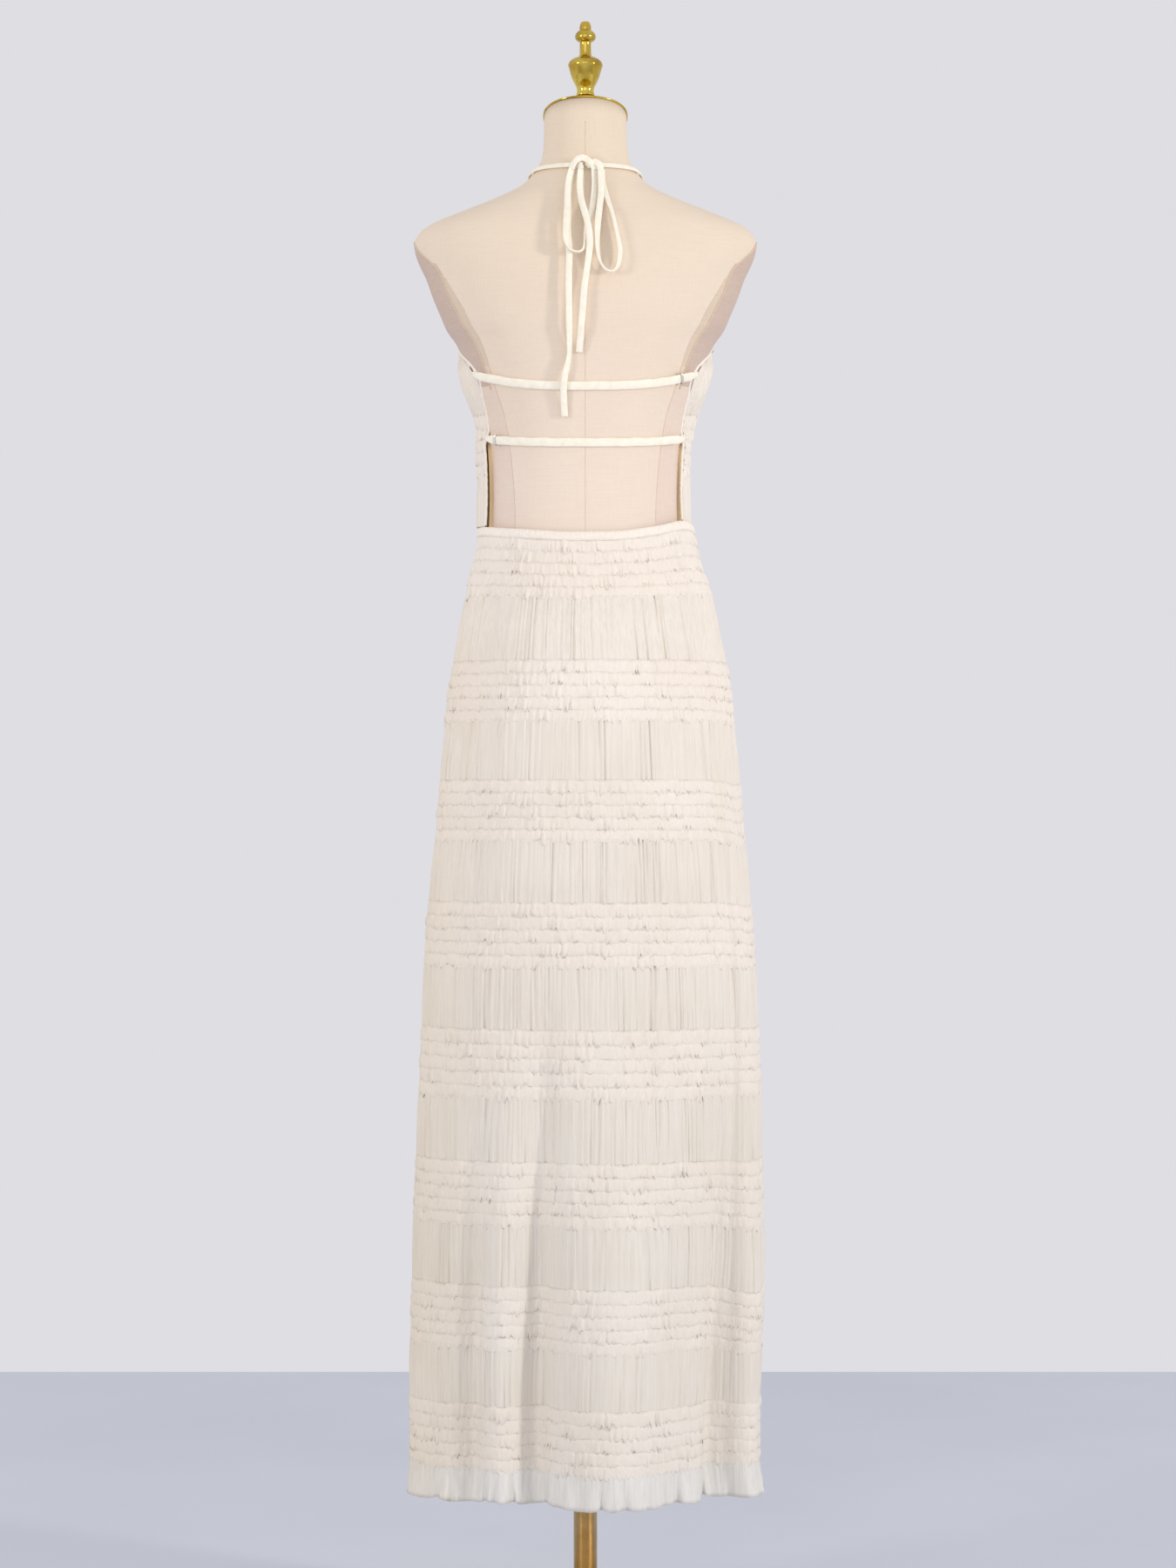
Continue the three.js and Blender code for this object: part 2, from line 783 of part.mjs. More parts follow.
function strand(name, rows) {
  const points = rows.map(
    ([across, height, lift]) =>
      new THREE.Vector3(across, formBack(across, height) + lift, height),
  );
  const shape = new THREE.Shape(
    range(STRAND.sides).map((k) => {
      const turn = (k / STRAND.sides) * 2 * Math.PI;
      return new THREE.Vector2(Math.cos(turn), Math.sin(turn)).multiplyScalar(STRAND.radius);
    }),
  );
  const geometry = new THREE.ExtrudeGeometry(shape, {
    steps: rows.length - 1,
    extrudePath: new THREE.CatmullRomCurve3(points),
  });
  add(name, geometry, material(CREAM, 0.45, 0));
}

// A solid of stacked rings with a flat end below and above.
function stack(rings, bottomCentre, topCentre) {
  const triangles = [];
  const columns = rings[0].length;
  const top = rings.length - 1;
  for (let j = 0; j < columns; j += 1) {
    const k = (j + 1) % columns;
    triangles.push([bottomCentre, rings[0][k], rings[0][j]]);
    triangles.push([topCentre, rings[top][j], rings[top][k]]);
    for (let i = 0; i < top; i += 1)
      quad(triangles, rings[i][j], rings[i][k], rings[i + 1][k], rings[i + 1][j]);
  }
  return solid(triangles);
}

// A ring of the form's outline on the neck's sloping top plane.
function neckRing(out, rise) {
  const height = FORM[FORM.length - 1].height;
  return ringAngles(FORM_COLUMNS).map((angle) => {
    const p = formPoint(angle, height, out);
    return p.setZ(height + rise + p.y * NECK_SLOPE);
  });
}

function dressForm() {
  const rings = FORM.slice(0, -1).map((row) =>
    ringAngles(FORM_COLUMNS).map((angle) => formPoint(angle, row.height, 0)),
  );
  rings.push(neckRing(0, 0));
  const bottom = new THREE.Vector3(0, 0, FORM[0].height);
  const top = new THREE.Vector3(0, 0, FORM[FORM.length - 1].height);
  add("dress_form", stack(rings, bottom, top), material(LINEN, 0.9, 0));
}

function neckCap() {
  const neckTop = FORM[FORM.length - 1].height;
  const disc = (radius, level) =>
    ringAngles(FORM_COLUMNS).map((angle) => {
      const x = Math.sin(angle) * radius;
      const y = -Math.cos(angle) * radius;
      const sloping = neckTop + CAP.thickness + y * NECK_SLOPE;
      return new THREE.Vector3(x, y, level ? CAP.bossTop : sloping);
    });
  const rings = [
    neckRing(CAP.rim, SEAM_GAP),
    neckRing(CAP.rim, CAP.thickness),
    disc(CAP.boss, false),
    disc(CAP.boss, true),
  ];
  const bottom = new THREE.Vector3(0, 0, neckTop + SEAM_GAP);
  const top = new THREE.Vector3(0, 0, CAP.bossTop);
  add("neck_cap", stack(rings, bottom, top), material(BRASS, 0.2, 1));
}

function turned(name, profile, segments, look) {
  const points = profile.map(([radius, height]) => new THREE.Vector2(radius, height));
  const geometry = new THREE.LatheGeometry(points, segments);
  add(name, geometry.rotateX(Math.PI / 2), look);
}

function standPole() {
  const length = POLE.top - POLE.bottom;
  const geometry = new THREE.CylinderGeometry(POLE.radius, POLE.radius, length, 24);
  geometry.rotateX(Math.PI / 2).translate(0, 0, POLE.bottom + length / 2);
  add("stand_pole", geometry, material(BRONZE, 0.3, 1));
}

dressForm();
neckCap();
turned("finial", FINIAL_PROFILE, 16, material(BRASS, 0.15, 1));
turned("pole_collar", [...COLLAR_PROFILE, COLLAR_PROFILE[0]], 24, material(BRONZE, 0.4, 1));
standPole();
turned("stand_base", BASE_PROFILE, 32, material(BRONZE, 0.4, 1));

waistband();
SKIRT_BANDS.forEach((band, i) => {
  skirtBand(`skirt_band_${i + 1}`, band);
  const below = SKIRT_BANDS[i + 1];
  if (below)
    skirtTier(`skirt_tier_${i + 1}`, band.bottom - SEAM_GAP, below.top + SEAM_GAP);
});
hemFlounce();

BODICE_PIECES.forEach(bodicePiece);
sideBinding("side_binding_left", 1);
sideBinding("side_binding_right", -1);
necklineBinding();
BACK_STRAPS.forEach(backStrap);
STRAP_RINGS.forEach(strapRing);

neckStrap("neck_strap_left", 1, NECK_STRAP_END.left);
neckStrap("neck_strap_right", -1, NECK_STRAP_END.right);
tieKnot();
Object.entries(STRANDS).forEach(([name, rows]) => strand(name, rows));

export default part;
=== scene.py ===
"""A long halter dress of ruffled and gathered chiffon on a limbless dress form, seen from behind.

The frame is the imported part. Tables and functions here are in millimetres, in the part's own
frame, and a mesh is brought to metres where it is made.
"""
import math

import bpy
import numpy as np
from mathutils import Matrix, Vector


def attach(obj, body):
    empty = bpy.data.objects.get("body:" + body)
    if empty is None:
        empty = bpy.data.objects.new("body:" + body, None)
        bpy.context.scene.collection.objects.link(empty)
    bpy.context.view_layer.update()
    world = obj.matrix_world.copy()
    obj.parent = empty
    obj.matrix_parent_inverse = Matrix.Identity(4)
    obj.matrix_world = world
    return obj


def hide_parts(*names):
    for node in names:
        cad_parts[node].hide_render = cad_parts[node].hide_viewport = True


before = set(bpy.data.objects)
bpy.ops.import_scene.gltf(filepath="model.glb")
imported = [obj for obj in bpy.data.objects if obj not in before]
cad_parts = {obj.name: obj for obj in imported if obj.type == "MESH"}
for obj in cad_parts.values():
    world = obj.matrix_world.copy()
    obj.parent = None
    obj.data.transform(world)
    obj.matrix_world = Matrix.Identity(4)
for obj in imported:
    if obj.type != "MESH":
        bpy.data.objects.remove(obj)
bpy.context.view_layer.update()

MM = 0.001
TURN = 2 * math.pi

# Camera: the photograph's angle, level, behind the dress.
CAMERA_PLACE = (-0.00285, 4.04, 0.94)
CAMERA_LENS_MM = 85
CAMERA_SENSOR_MM = 36


def table(names, rows):
    """A table with named columns, each column an array."""
    columns = np.array(rows, float).T
    return dict(zip(names.split(), columns))


# Sections of the torso: half width, and depth to the front and to the back of the axis.
FORM = table("height half front back", [
    (900, 139, 98, 102),
    (960, 141, 100, 108),
    (1030, 136, 98, 109),
    (1100, 126, 92, 100),
    (1150, 116, 87, 91),
    (1200, 107, 82, 83),
    (1240, 104.5, 80, 80),
    (1280, 105, 82, 80),
    (1310, 107, 87, 83),
    (1340, 112, 98, 88),
    (1365, 121, 114, 92),
    (1390, 129, 124, 95),
    (1407, 135, 123, 97),
    (1420, 141, 120, 98),
    (1434, 151, 116, 99),
    (1450, 158, 111, 99),
    (1470, 166.5, 104, 97),
    (1490, 173.5, 98, 94),
    (1508, 182, 91, 90),
    (1521, 186, 86, 85),
    (1534, 185, 80, 80),
    (1548, 171, 73, 74),
    (1562, 138, 67, 66),
    (1577, 100, 62, 59),
    (1591, 71, 58, 54),
    (1605, 57, 55, 51),
    (1620, 48, 52, 49),
    (1640, 45.6, 50, 47),
    (1667, 45, 49, 46),
])
FORM_BOTTOM = 900
FORM_TOP = 1667
FORM_ROUNDNESS = 2.2
NECK_SLOPE = 0.29

# Sections of the skirt's cloth, and how far each lies to the side of the pole.
SKIRT = table("height half front back shift", [
    (174, 191, 138, 99, 1),
    (206, 190, 138, 99, 1),
    (300, 191, 136, 101, 0),
    (400, 191.5, 134, 104, -3),
    (500, 189.5, 132, 107, -4),
    (600, 186, 130, 110, -5),
    (700, 182, 128, 116, -5),
    (780, 178, 126, 121, -5),
    (835, 173, 123, 124, -5),
    (890, 167, 121, 126, -5),
    (940, 163.5, 119, 127, -5),
    (990, 158, 117, 126, -5),
    (1035, 154.5, 114, 124, -5),
    (1072, 148.5, 111, 119, -5),
    (1110, 140.5, 106, 112, -4),
    (1144, 134, 100, 103, -4),
    (1172, 126, 95, 96, -2),
    (1196, 119.5, 92, 90, -1),
    (1220, 116.5, 90, 86, 0),
])
SKIRT_ROUNDNESS = 2.1

# Large folds: place round the hem in degrees from the front, spread, push out at the hem, and
# the heights where each begins and is full.
FOLDS = table("angle spread push start full", [
    (8, 16, 32, 780, 260),
    (36, 6, -24, 760, 300),
    (60, 7, 8, 720, 300),
    (141, 5, -14, 640, 300),
    (152, 7, 8, 700, 300),
    (165, 5.5, -24, 800, 280),
    (189, 17, 36, 780, 240),
    (229.5, 8.5, -28, 730, 280),
    (247, 8, 8, 720, 300),
    (300, 6, 8, 720, 300),
    (318, 7, -20, 720, 300),
    (342, 6, -28, 780, 280),
    (237.5, 3.2, -5, 1090, 950),
])

# How the seams sag: the waist at the back, and the panel beside the deep fold.
SEAM_SAGS = table("angle spread sag top middle bottom", [
    (180, 52, 10, 1600, 1220, 1072),
    (247, 18, 13, 620, 395, 215),
    (255, 15, 7, 1120, 880, 560),
    (243, 26, -7, 1600, 1220, 1110),
])

# The ruffle bands from the waist down; gathered tiers fill the heights between them.
SKIRT_BANDS = [
    (1211.7, 1143),
    (1072, 1007),
    (944.6, 879.3),
    (813.8, 744.8),
    (678.2, 604.5),
    (536.8, 468.7),
    (404, 336.5),
    (276, 206.2),
]
WAISTBAND = (1212, 1219.7)
FLOUNCE = (172, 205.9)

BODICE_EASE = table("height ease", [
    (1220, 9.5),
    (1300, 8),
    (1348, 10),
    (1380, 10),
    (1407, 7),
    (1425, 5.4),
    (1512, 5),
])
BODICE_EDGE = table("height angle", [
    (1220, 107.5),
    (1300, 107),
    (1334, 107),
    (1352, 109),
    (1372, 113),
    (1383, 112.5),
    (1395, 105),
    (1407, 92),
    (1423, 77),
    (1444, 60),
    (1480, 38),
    (1512, 17),
])
BODICE_BOTTOM = 1220
BODICE_TOP = 1512
# The cloth is drawn in towards the form beside its free edges, by these shares of its room: all the
# way, and more above a height over a passage. The angle in radians is how near the edge it begins.
EDGE_HUG = 0.3
EDGE_DRAWN_IN = 0.45
EDGE_DRAWN_ABOVE = 0.56
EDGE_DRAWN_FROM = 1306
EDGE_DRAWN_OVER = 18
# On the left it stands further off below a height: how far, at which angle, and how widely.
LEFT_ROOM = 4.2
LEFT_SIDE = 95
LEFT_SPREAD = 30
LEFT_BELOW = 1335
LEFT_OVER = 35
# Below this height the bodice's seam follows the waist's sag.
SAG_BELOW = 1274
BODICE_PIECES = [
    ("bodice_tier_1", 1220, 1274.5, "tier"),
    ("bodice_band_1", 1274.8, 1340.5, "band"),
    ("bodice_tier_2", 1340.8, 1409.5, "tier"),
    ("bodice_band_2", 1409.8, 1475.5, "band"),
    ("bodice_tier_3", 1475.8, 1512, "tier"),
]

# The bow's strands: place across the back, height, how far the middle lies off the form, and
# the turn of the flat strap about its own line in degrees, 0 where its face looks back.
TAIL_LONG = [
    (14, 1601.7, 3.2, 0),
    (16, 1588, 3.1, 0),
    (17.5, 1572, 3, 0),
    (18.5, 1552, 3, 0),
    (18.8, 1530, 3, 0),
    (17, 1507, 3, 0),
    (17.5, 1486, 3, 0),
    (17.6, 1465, 3, 5),
    (17.3, 1446, 3, 10),
    (17.2, 1428, 3.2, 20),
    (16.8, 1412, 3.6, 35),
    (17.2, 1397, 4.8, 50),
    (19, 1386, 6.2, 35),
    (22, 1374, 6.6, 15),
    (23.2, 1362, 6, 0),
    (22.8, 1349, 4.6, 0),
    (22, 1332, 3.6, 0),
]
TAIL_SHORT = [
    (5, 1601.7, 7, 30),
    (6, 1585, 7.6, 10),
    (5, 1571, 8.2, 0),
    (2.8, 1559.5, 8.5, 0),
    (0, 1549, 8.6, 0),
    (-2.6, 1538, 8.6, 0),
    (-4.6, 1524, 8.2, 0),
    (-4.6, 1512, 7.2, 5),
    (-3.4, 1500, 5.2, 15),
    (-1.4, 1485, 3.4, 20),
    (0.9, 1469, 3, 10),
    (2.5, 1449, 3, 0),
    (4.1, 1428, 3, 0),
    (5.4, 1413, 3, 0),
    (6.5, 1399.5, 3, 0),
]
LOOP_LEFT = [
    (14.8, 1601.7, 8.4, 30),
    (18, 1587, 8.4, 15),
    (19, 1571, 8.4, 5),
    (19.6, 1555, 8.4, 0),
    (20.4, 1538, 8.4, 0),
    (20.5, 1524, 8.4, 10),
    (18.8, 1514, 8.2, 50),
    (14.4, 1508, 7.8, 80),
    (8.4, 1506, 6.4, 90),
    (2.8, 1508.5, 5, 100),
    (-0.4, 1516, 3.8, 130),
    (-1.6, 1527, 3.2, 165),
    (-2.8, 1539, 3, 180),
    (-5.2, 1549, 3, 180),
    (-7.5, 1559.5, 3, 180),
    (-9.3, 1572, 3, 170),
    (-10, 1585, 3.2, 150),
    (-9.5, 1601.7, 3.8, 150),
]
LOOP_RIGHT = [
    (-16.4, 1601.7, 8.6, 0),
    (-17, 1587, 8.4, 0),
    (-16.9, 1574.5, 8, 0),
    (-15.2, 1558, 7, 0),
    (-13.7, 1543.6, 6, 10),
    (-12.9, 1532, 5.2, 25),
    (-12.7, 1521, 4.4, 45),
    (-13.2, 1510, 4, 60),
    (-14.9, 1499.7, 3.8, 75),
    (-18.5, 1491, 3.8, 85),
    (-23.2, 1486.4, 3.8, 90),
    (-28, 1485, 3.8, 95),
    (-32.6, 1488, 3.6, 105),
    (-35.8, 1495, 3.5, 120),
    (-37.2, 1508, 3.2, 130),
    (-35.6, 1520, 3, 125),
    (-33.4, 1531, 3, 120),
    (-30.6, 1544, 3, 120),
    (-27.6, 1556, 3, 125),
    (-24.2, 1566, 3, 140),
    (-21, 1576, 3, 160),
    (-18.4, 1587, 3, 180),
    (-17.6, 1601.7, 3.2, 180),
]
# How square a strap's section is across its width and through its thickness.
RIBBON_FLATNESS = 0.62
RIBBON_CROWN = 0.9
STRAP_WIDTH = 7.1
STRAP_THICKNESS = 2.6
# Below the nape the strands hang further off the back than their tables say: how far at most, the
# heights where that begins and is full, and the heights where it has ended and is still full.
HANG_AWAY = 6
HANG_TOP = (1590, 1540)
HANG_BOTTOM = (1392, 1432)
STRAND_STEP = 1.4


def smooth(rows, column, height):
    """A smooth curve through one column of a table whose rows rise in height."""
    h, v = rows["height"], rows[column]
    slopes = np.empty_like(v)
    slopes[1:-1] = (v[2:] - v[:-2]) / (h[2:] - h[:-2])
    slopes[0] = (v[1] - v[0]) / (h[1] - h[0])
    slopes[-1] = (v[-1] - v[-2]) / (h[-1] - h[-2])
    height = np.asarray(height, float)
    i = np.clip(np.searchsorted(h, height, side="right") - 1, 0, len(h) - 2)
    span = h[i + 1] - h[i]
    t = np.clip((height - h[i]) / span, 0, 1)
    rise = t * t * (3 - 2 * t)
    value = v[i] * (1 - rise) + v[i + 1] * rise
    leave = t * (1 - t) ** 2 * span * slopes[i]
    arrive = t * t * (1 - t) * span * slopes[i + 1]
    return value + leave - arrive


def ease(t):
    t = np.clip(t, 0, 1)
    return t * t * (3 - 2 * t)


def signed_power(values, power):
    return np.sign(values) * np.abs(values) ** power


def bump(angle, centre, spread):
    """One at its angle, falling away on both sides; angle in radians, the rest in degrees."""
    turn = np.degrees(angle) - centre
    away = turn - 360 * np.round(turn / 360)
    return np.exp(-(away / spread) ** 2)


def section_point(section, roundness, angle, height, out, drop=0.0):
    """Points on a rounded section, angle running from the front, -Y, towards +X."""
    s, c = np.sin(angle), -np.cos(angle)
    depth = np.where(c < 0, section["front"], section["back"])
    across = signed_power(s, 2 / roundness)
    along = signed_power(c, 2 / roundness)
    nx = signed_power(across, roundness - 1) / section["half"]
    ny = signed_power(along, roundness - 1) / depth
    length = np.hypot(nx, ny)
    x = section.get("shift", 0) + section["half"] * across + nx / length * out
    y = depth * along + ny / length * out
    return np.stack(np.broadcast_arrays(x, y, height - drop), axis=-1)


def sections(rows, height):
    return {name: smooth(rows, name, height) for name in rows if name != "height"}


def form_point(angle, height, out=0.0):
    return section_point(sections(FORM, height), FORM_ROUNDNESS, angle, height, out)


def form_back(across, height):
    section = sections(FORM, height)
    share = np.abs(across / section["half"]) ** FORM_ROUNDNESS
    return section["back"] * (1 - share) ** (1 / FORM_ROUNDNESS)


def fold_push(angle, height):
    total = 0.0
    for place, spread, push, start, full in zip(*FOLDS.values()):
        total = total + push * ease((start - height) / (start - full)) * bump(angle, place, spread)
    return total


def seam_sag(angle, height):
    total = 0.0
    for place, spread, sag, top, middle, bottom in zip(*SEAM_SAGS.values()):
        rising = ease((height - bottom) / (middle - bottom))
        falling = ease((top - height) / (top - middle))
        total = total + sag * np.minimum(rising, falling) * bump(angle, place, spread)
    return total


def skirt_point(angle, height, out=0.0):
    out = fold_push(angle, height) + out
    drop = seam_sag(angle, height)
    return section_point(sections(SKIRT, height), SKIRT_ROUNDNESS, angle, height, out, drop)


def bodice_point(angle, height, out=0.0):
    near_edge = ease((np.abs(angle) - bodice_edge(height) + EDGE_HUG) / EDGE_HUG)
    drawn = EDGE_DRAWN_IN + EDGE_DRAWN_ABOVE * ease((height - EDGE_DRAWN_FROM) / EDGE_DRAWN_OVER)
    room = smooth(BODICE_EASE, "ease", height) * (1 - drawn * near_edge)
    left = bump(angle, LEFT_SIDE, LEFT_SPREAD) * ease((LEFT_BELOW - height) / LEFT_OVER)
    points = form_point(angle, height, room + LEFT_ROOM * left + out)
    waist = ease((SAG_BELOW - height) / (SAG_BELOW - BODICE_BOTTOM))
    points[..., 2] -= seam_sag(angle, height) * waist
    return points


def bodice_edge(height):
    return np.radians(smooth(BODICE_EDGE, "angle", height))


def mesh_object(name, node, vertices, faces, material, slot):
    """A smooth-shaded piece in metres, riding on the part, in the place of a node if one is named.
    Its faces are lists of corners."""
    mesh = bpy.data.meshes.new(name)
    vertices = np.asarray(vertices, float).reshape(-1, 3) * MM
    mesh.vertices.add(len(vertices))
    mesh.vertices.foreach_set("co", vertices.ravel())
    counts = np.array([len(face) for face in faces])
    corners = np.concatenate(faces)
    mesh.loops.add(len(corners))
    mesh.loops.foreach_set("vertex_index", corners.astype(np.int32))
    mesh.polygons.add(len(counts))
    starts = np.concatenate([[0], np.cumsum(counts)[:-1]])
    mesh.polygons.foreach_set("loop_start", starts.astype(np.int32))
    mesh.polygons.foreach_set("loop_total", counts.astype(np.int32))
    mesh.polygons.foreach_set("use_smooth", np.ones(len(counts), bool))
    mesh.update(calc_edges=True)
    mesh.validate()
    piece = bpy.data.objects.new(name, mesh)
    bpy.context.scene.collection.objects.link(piece)
    mesh.materials.append(material)
    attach(piece, "root")
    if node:
        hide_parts(node)
    return piece


def tube_quads(rings, sides):
    """Quads of a tube: rings of points upward, each in the direction of rising angle."""
    i, j = np.meshgrid(np.arange(rings - 1) * sides, np.arange(sides), indexing="ij")
    k = (j + 1) % sides
    return np.stack([i + j, i + k, i + sides + k, i + sides + j], -1).reshape(-1, 4)


def closed_tube(rings, sides):
    """Faces of a tube whose first ring is closed below and whose last one above."""
    last = (rings - 1) * sides
    ends = [list(reversed(range(sides))), list(range(last, last + sides))]
    return [*tube_quads(rings, sides), *ends]


def join_parts(parts):
    """Several vertex and quad sets as one."""
    vertices, faces, first = [], [], 0
    for v, f in parts:
        vertices.append(v)
        faces.append(f + first)
        first += len(v)
    return np.concatenate(vertices), np.concatenate(faces)


def unit(vectors):
    return vectors / np.linalg.norm(vectors, axis=-1, keepdims=True)


def normals_of(point, angle, height, out):
    step = 0.01
    around = point(angle + step, height, out) - point(angle - step, height, out)
    up = point(angle, height + 1, out) - point(angle, height - 1, out)
    return unit(np.cross(around, up))


def resample(points, count):
    """A smooth line through points, with count points evenly spaced along it."""
    points = np.asarray(points, float)
    padded = np.concatenate([[2 * points[0] - points[1]], points, [2 * points[-1] - points[-2]]])
    fine = []
    for a, b, c, d in zip(padded, padded[1:], padded[2:], padded[3:]):
        t = np.linspace(0, 1, 12, endpoint=False)[:, None]
        fine.append(0.5 * (2 * b + (c - a) * t + (2 * a - 5 * b + 4 * c - d) * t ** 2
                           + (3 * b - a - 3 * c + d) * t ** 3))
    fine = np.concatenate(fine + [points[-1:]])
    steps = np.linalg.norm(np.diff(fine[:, :3], axis=0), axis=1)
    along = np.concatenate([[0], np.cumsum(steps)])
    targets = np.linspace(0, along[-1], count)
    return np.stack([np.interp(targets, along, fine[:, k]) for k in range(fine.shape[1])], -1)


def length_of(points):
    return float(np.linalg.norm(np.diff(points, axis=0), axis=1).sum())


def ribbon_parts(path, faces_out, width, thickness, twist=0.0, sides=12):
    """A flat strap with round edges along a path: its face looks along faces_out, turned by the
    twist. Its ends are closed by quads from side to side."""
    tangent = unit(np.gradient(path, axis=0))
    side = unit(np.cross(tangent, faces_out))
    face = np.cross(side, tangent)
    twist = np.broadcast_to(twist, (len(path),))[:, None]
    c, s = np.cos(twist), np.sin(twist)
    side, face = side * c + face * s, face * c - side * s
    turn = np.arange(sides) / sides * TURN
    halves = np.broadcast_to(width, (len(path),))[:, None, None] / 2
    u = signed_power(np.cos(turn), RIBBON_FLATNESS)[None, :, None] * halves
    v = signed_power(np.sin(turn), RIBBON_CROWN)[None, :, None] * thickness / 2
    rings = path[:, None] + side[:, None] * u + face[:, None] * v
    last = (len(path) - 1) * sides
    ends = []
    for a in range(sides // 2 - 1):
        near = np.array([a, a + 1, sides - 2 - a, sides - 1 - a])
        ends.extend([near, last + near[::-1]])
    return rings.reshape(-1, 3), np.concatenate([tube_quads(len(path), sides)[:, ::-1], ends])


def ribbon(name, node, path, faces_out, width, thickness, material, slot):
    mesh_object(name, node, *ribbon_parts(path, faces_out, width, thickness), material, slot)


def closed_sweep(grid, ring):
    """A closed thin cloth: its outline, outer side down and inner side up, swept over its columns."""
    outline, columns = grid.shape[:2]
    spans = columns if ring else columns - 1
    i, j = np.meshgrid(np.arange(outline), np.arange(spans), indexing="ij")
    m, k = (i + 1) % outline, (j + 1) % columns
    quads = np.stack([i * columns + j, m * columns + j, m * columns + k, i * columns + k], -1)
    quads = quads.reshape(-1, 4)
    if not ring:
        half = outline // 2
        a = np.arange(half - 1)
        b = outline - 1 - a
        last = columns - 1
        start = np.stack([a, b, b - 1, a + 1], -1) * columns
        end = np.stack([a, a + 1, b - 1, b], -1) * columns + last
        quads = np.concatenate([quads, start, end])
    return grid.reshape(-1, 3), quads


def uneven_wave(rng, waves, smallest=0.35, evenness=6.0):
    """A wave round the cloth whose crests differ in width and height, of the share 0 to 1."""
    gaps = rng.gamma(evenness, 1, 2 * waves)
    edges = np.concatenate([[0], np.cumsum(gaps)]) / gaps.sum()
    levels = np.tile([1, -1], waves) * rng.uniform(smallest, 1, 2 * waves)

    def wave(share):
        share = np.mod(share, 1)
        k = np.clip(np.searchsorted(edges, share, side="right") - 1, 0, 2 * waves - 1)
        t = ease((share - edges[k]) / (edges[k + 1] - edges[k]))
        return levels[k] * (1 - t) + levels[(k + 1) % (2 * waves)] * t

    return wave


def even_angles(point, height, count, span=None):
    """Angles that part the cloth at one height into columns of equal width, with their shares."""
    if span is None:
        fine = np.linspace(0, TURN, 7201)
    else:
        fine = np.linspace(-span, span, 3601)
    line = point(fine, height)
    along = np.concatenate([[0], np.cumsum(np.linalg.norm(np.diff(line, axis=0), axis=1))])
    share = np.arange(count) / count if span is None else np.linspace(0, 1, count)
    return np.interp(share * along[-1], along, fine), share, float(along[-1])


def make_camera():
    data = bpy.data.cameras.new("camera")
    data.lens = CAMERA_LENS_MM
    data.sensor_width = CAMERA_SENSOR_MM
    data.clip_end = 50
    camera = bpy.data.objects.new("camera", data)
    camera.location = CAMERA_PLACE
    camera.rotation_euler = (math.pi / 2, 0, math.pi)
    bpy.context.scene.collection.objects.link(camera)
    bpy.context.scene.camera = camera


make_camera()


# Materials. Each is a node tree on the part's own coordinates.
def srgb(red, green, blue):
    """A colour given as seen on a screen, 0 to 255, in linear values."""
    values = [c / 255 for c in (red, green, blue)]
    return tuple(c / 12.92 if c <= 0.04045 else ((c + 0.055) / 1.055) ** 2.4 for c in values) + (1,)


WHITE = (1, 1, 1, 1)
# Tints that a cloth's colour is multiplied by, and the places in metres that they begin and end at:
# painted cool shade towards the hem, painted warm shade on the skirt's left, and yellower up the neck.
CHIFFON_PAINTED_HEM_SHADE = (0.915, 0.93, 0.935, 1)
PAINTED_HEM_SHADE_REACH = (0.45, 1.05)
CHIFFON_PAINTED_SIDE_SHADE = (1.0, 0.965, 0.9, 1)
PAINTED_SIDE_SHADE_REACH = (0.1, 0.185)
LINEN_YELLOWER_UP = (0.955, 0.955, 0.895, 1)
NECK_REACH = (1.3, 1.6)
# A painted glow: the form beside the waist emits, in place of the warm light that comes through the
# chiffon.
PAINTED_GLOW_COLOUR = srgb(156, 138, 98)
PAINTED_GLOW_BESIDE = (0.0995, 0.103)
PAINTED_GLOW_BELOW = (1.311, 1.302)


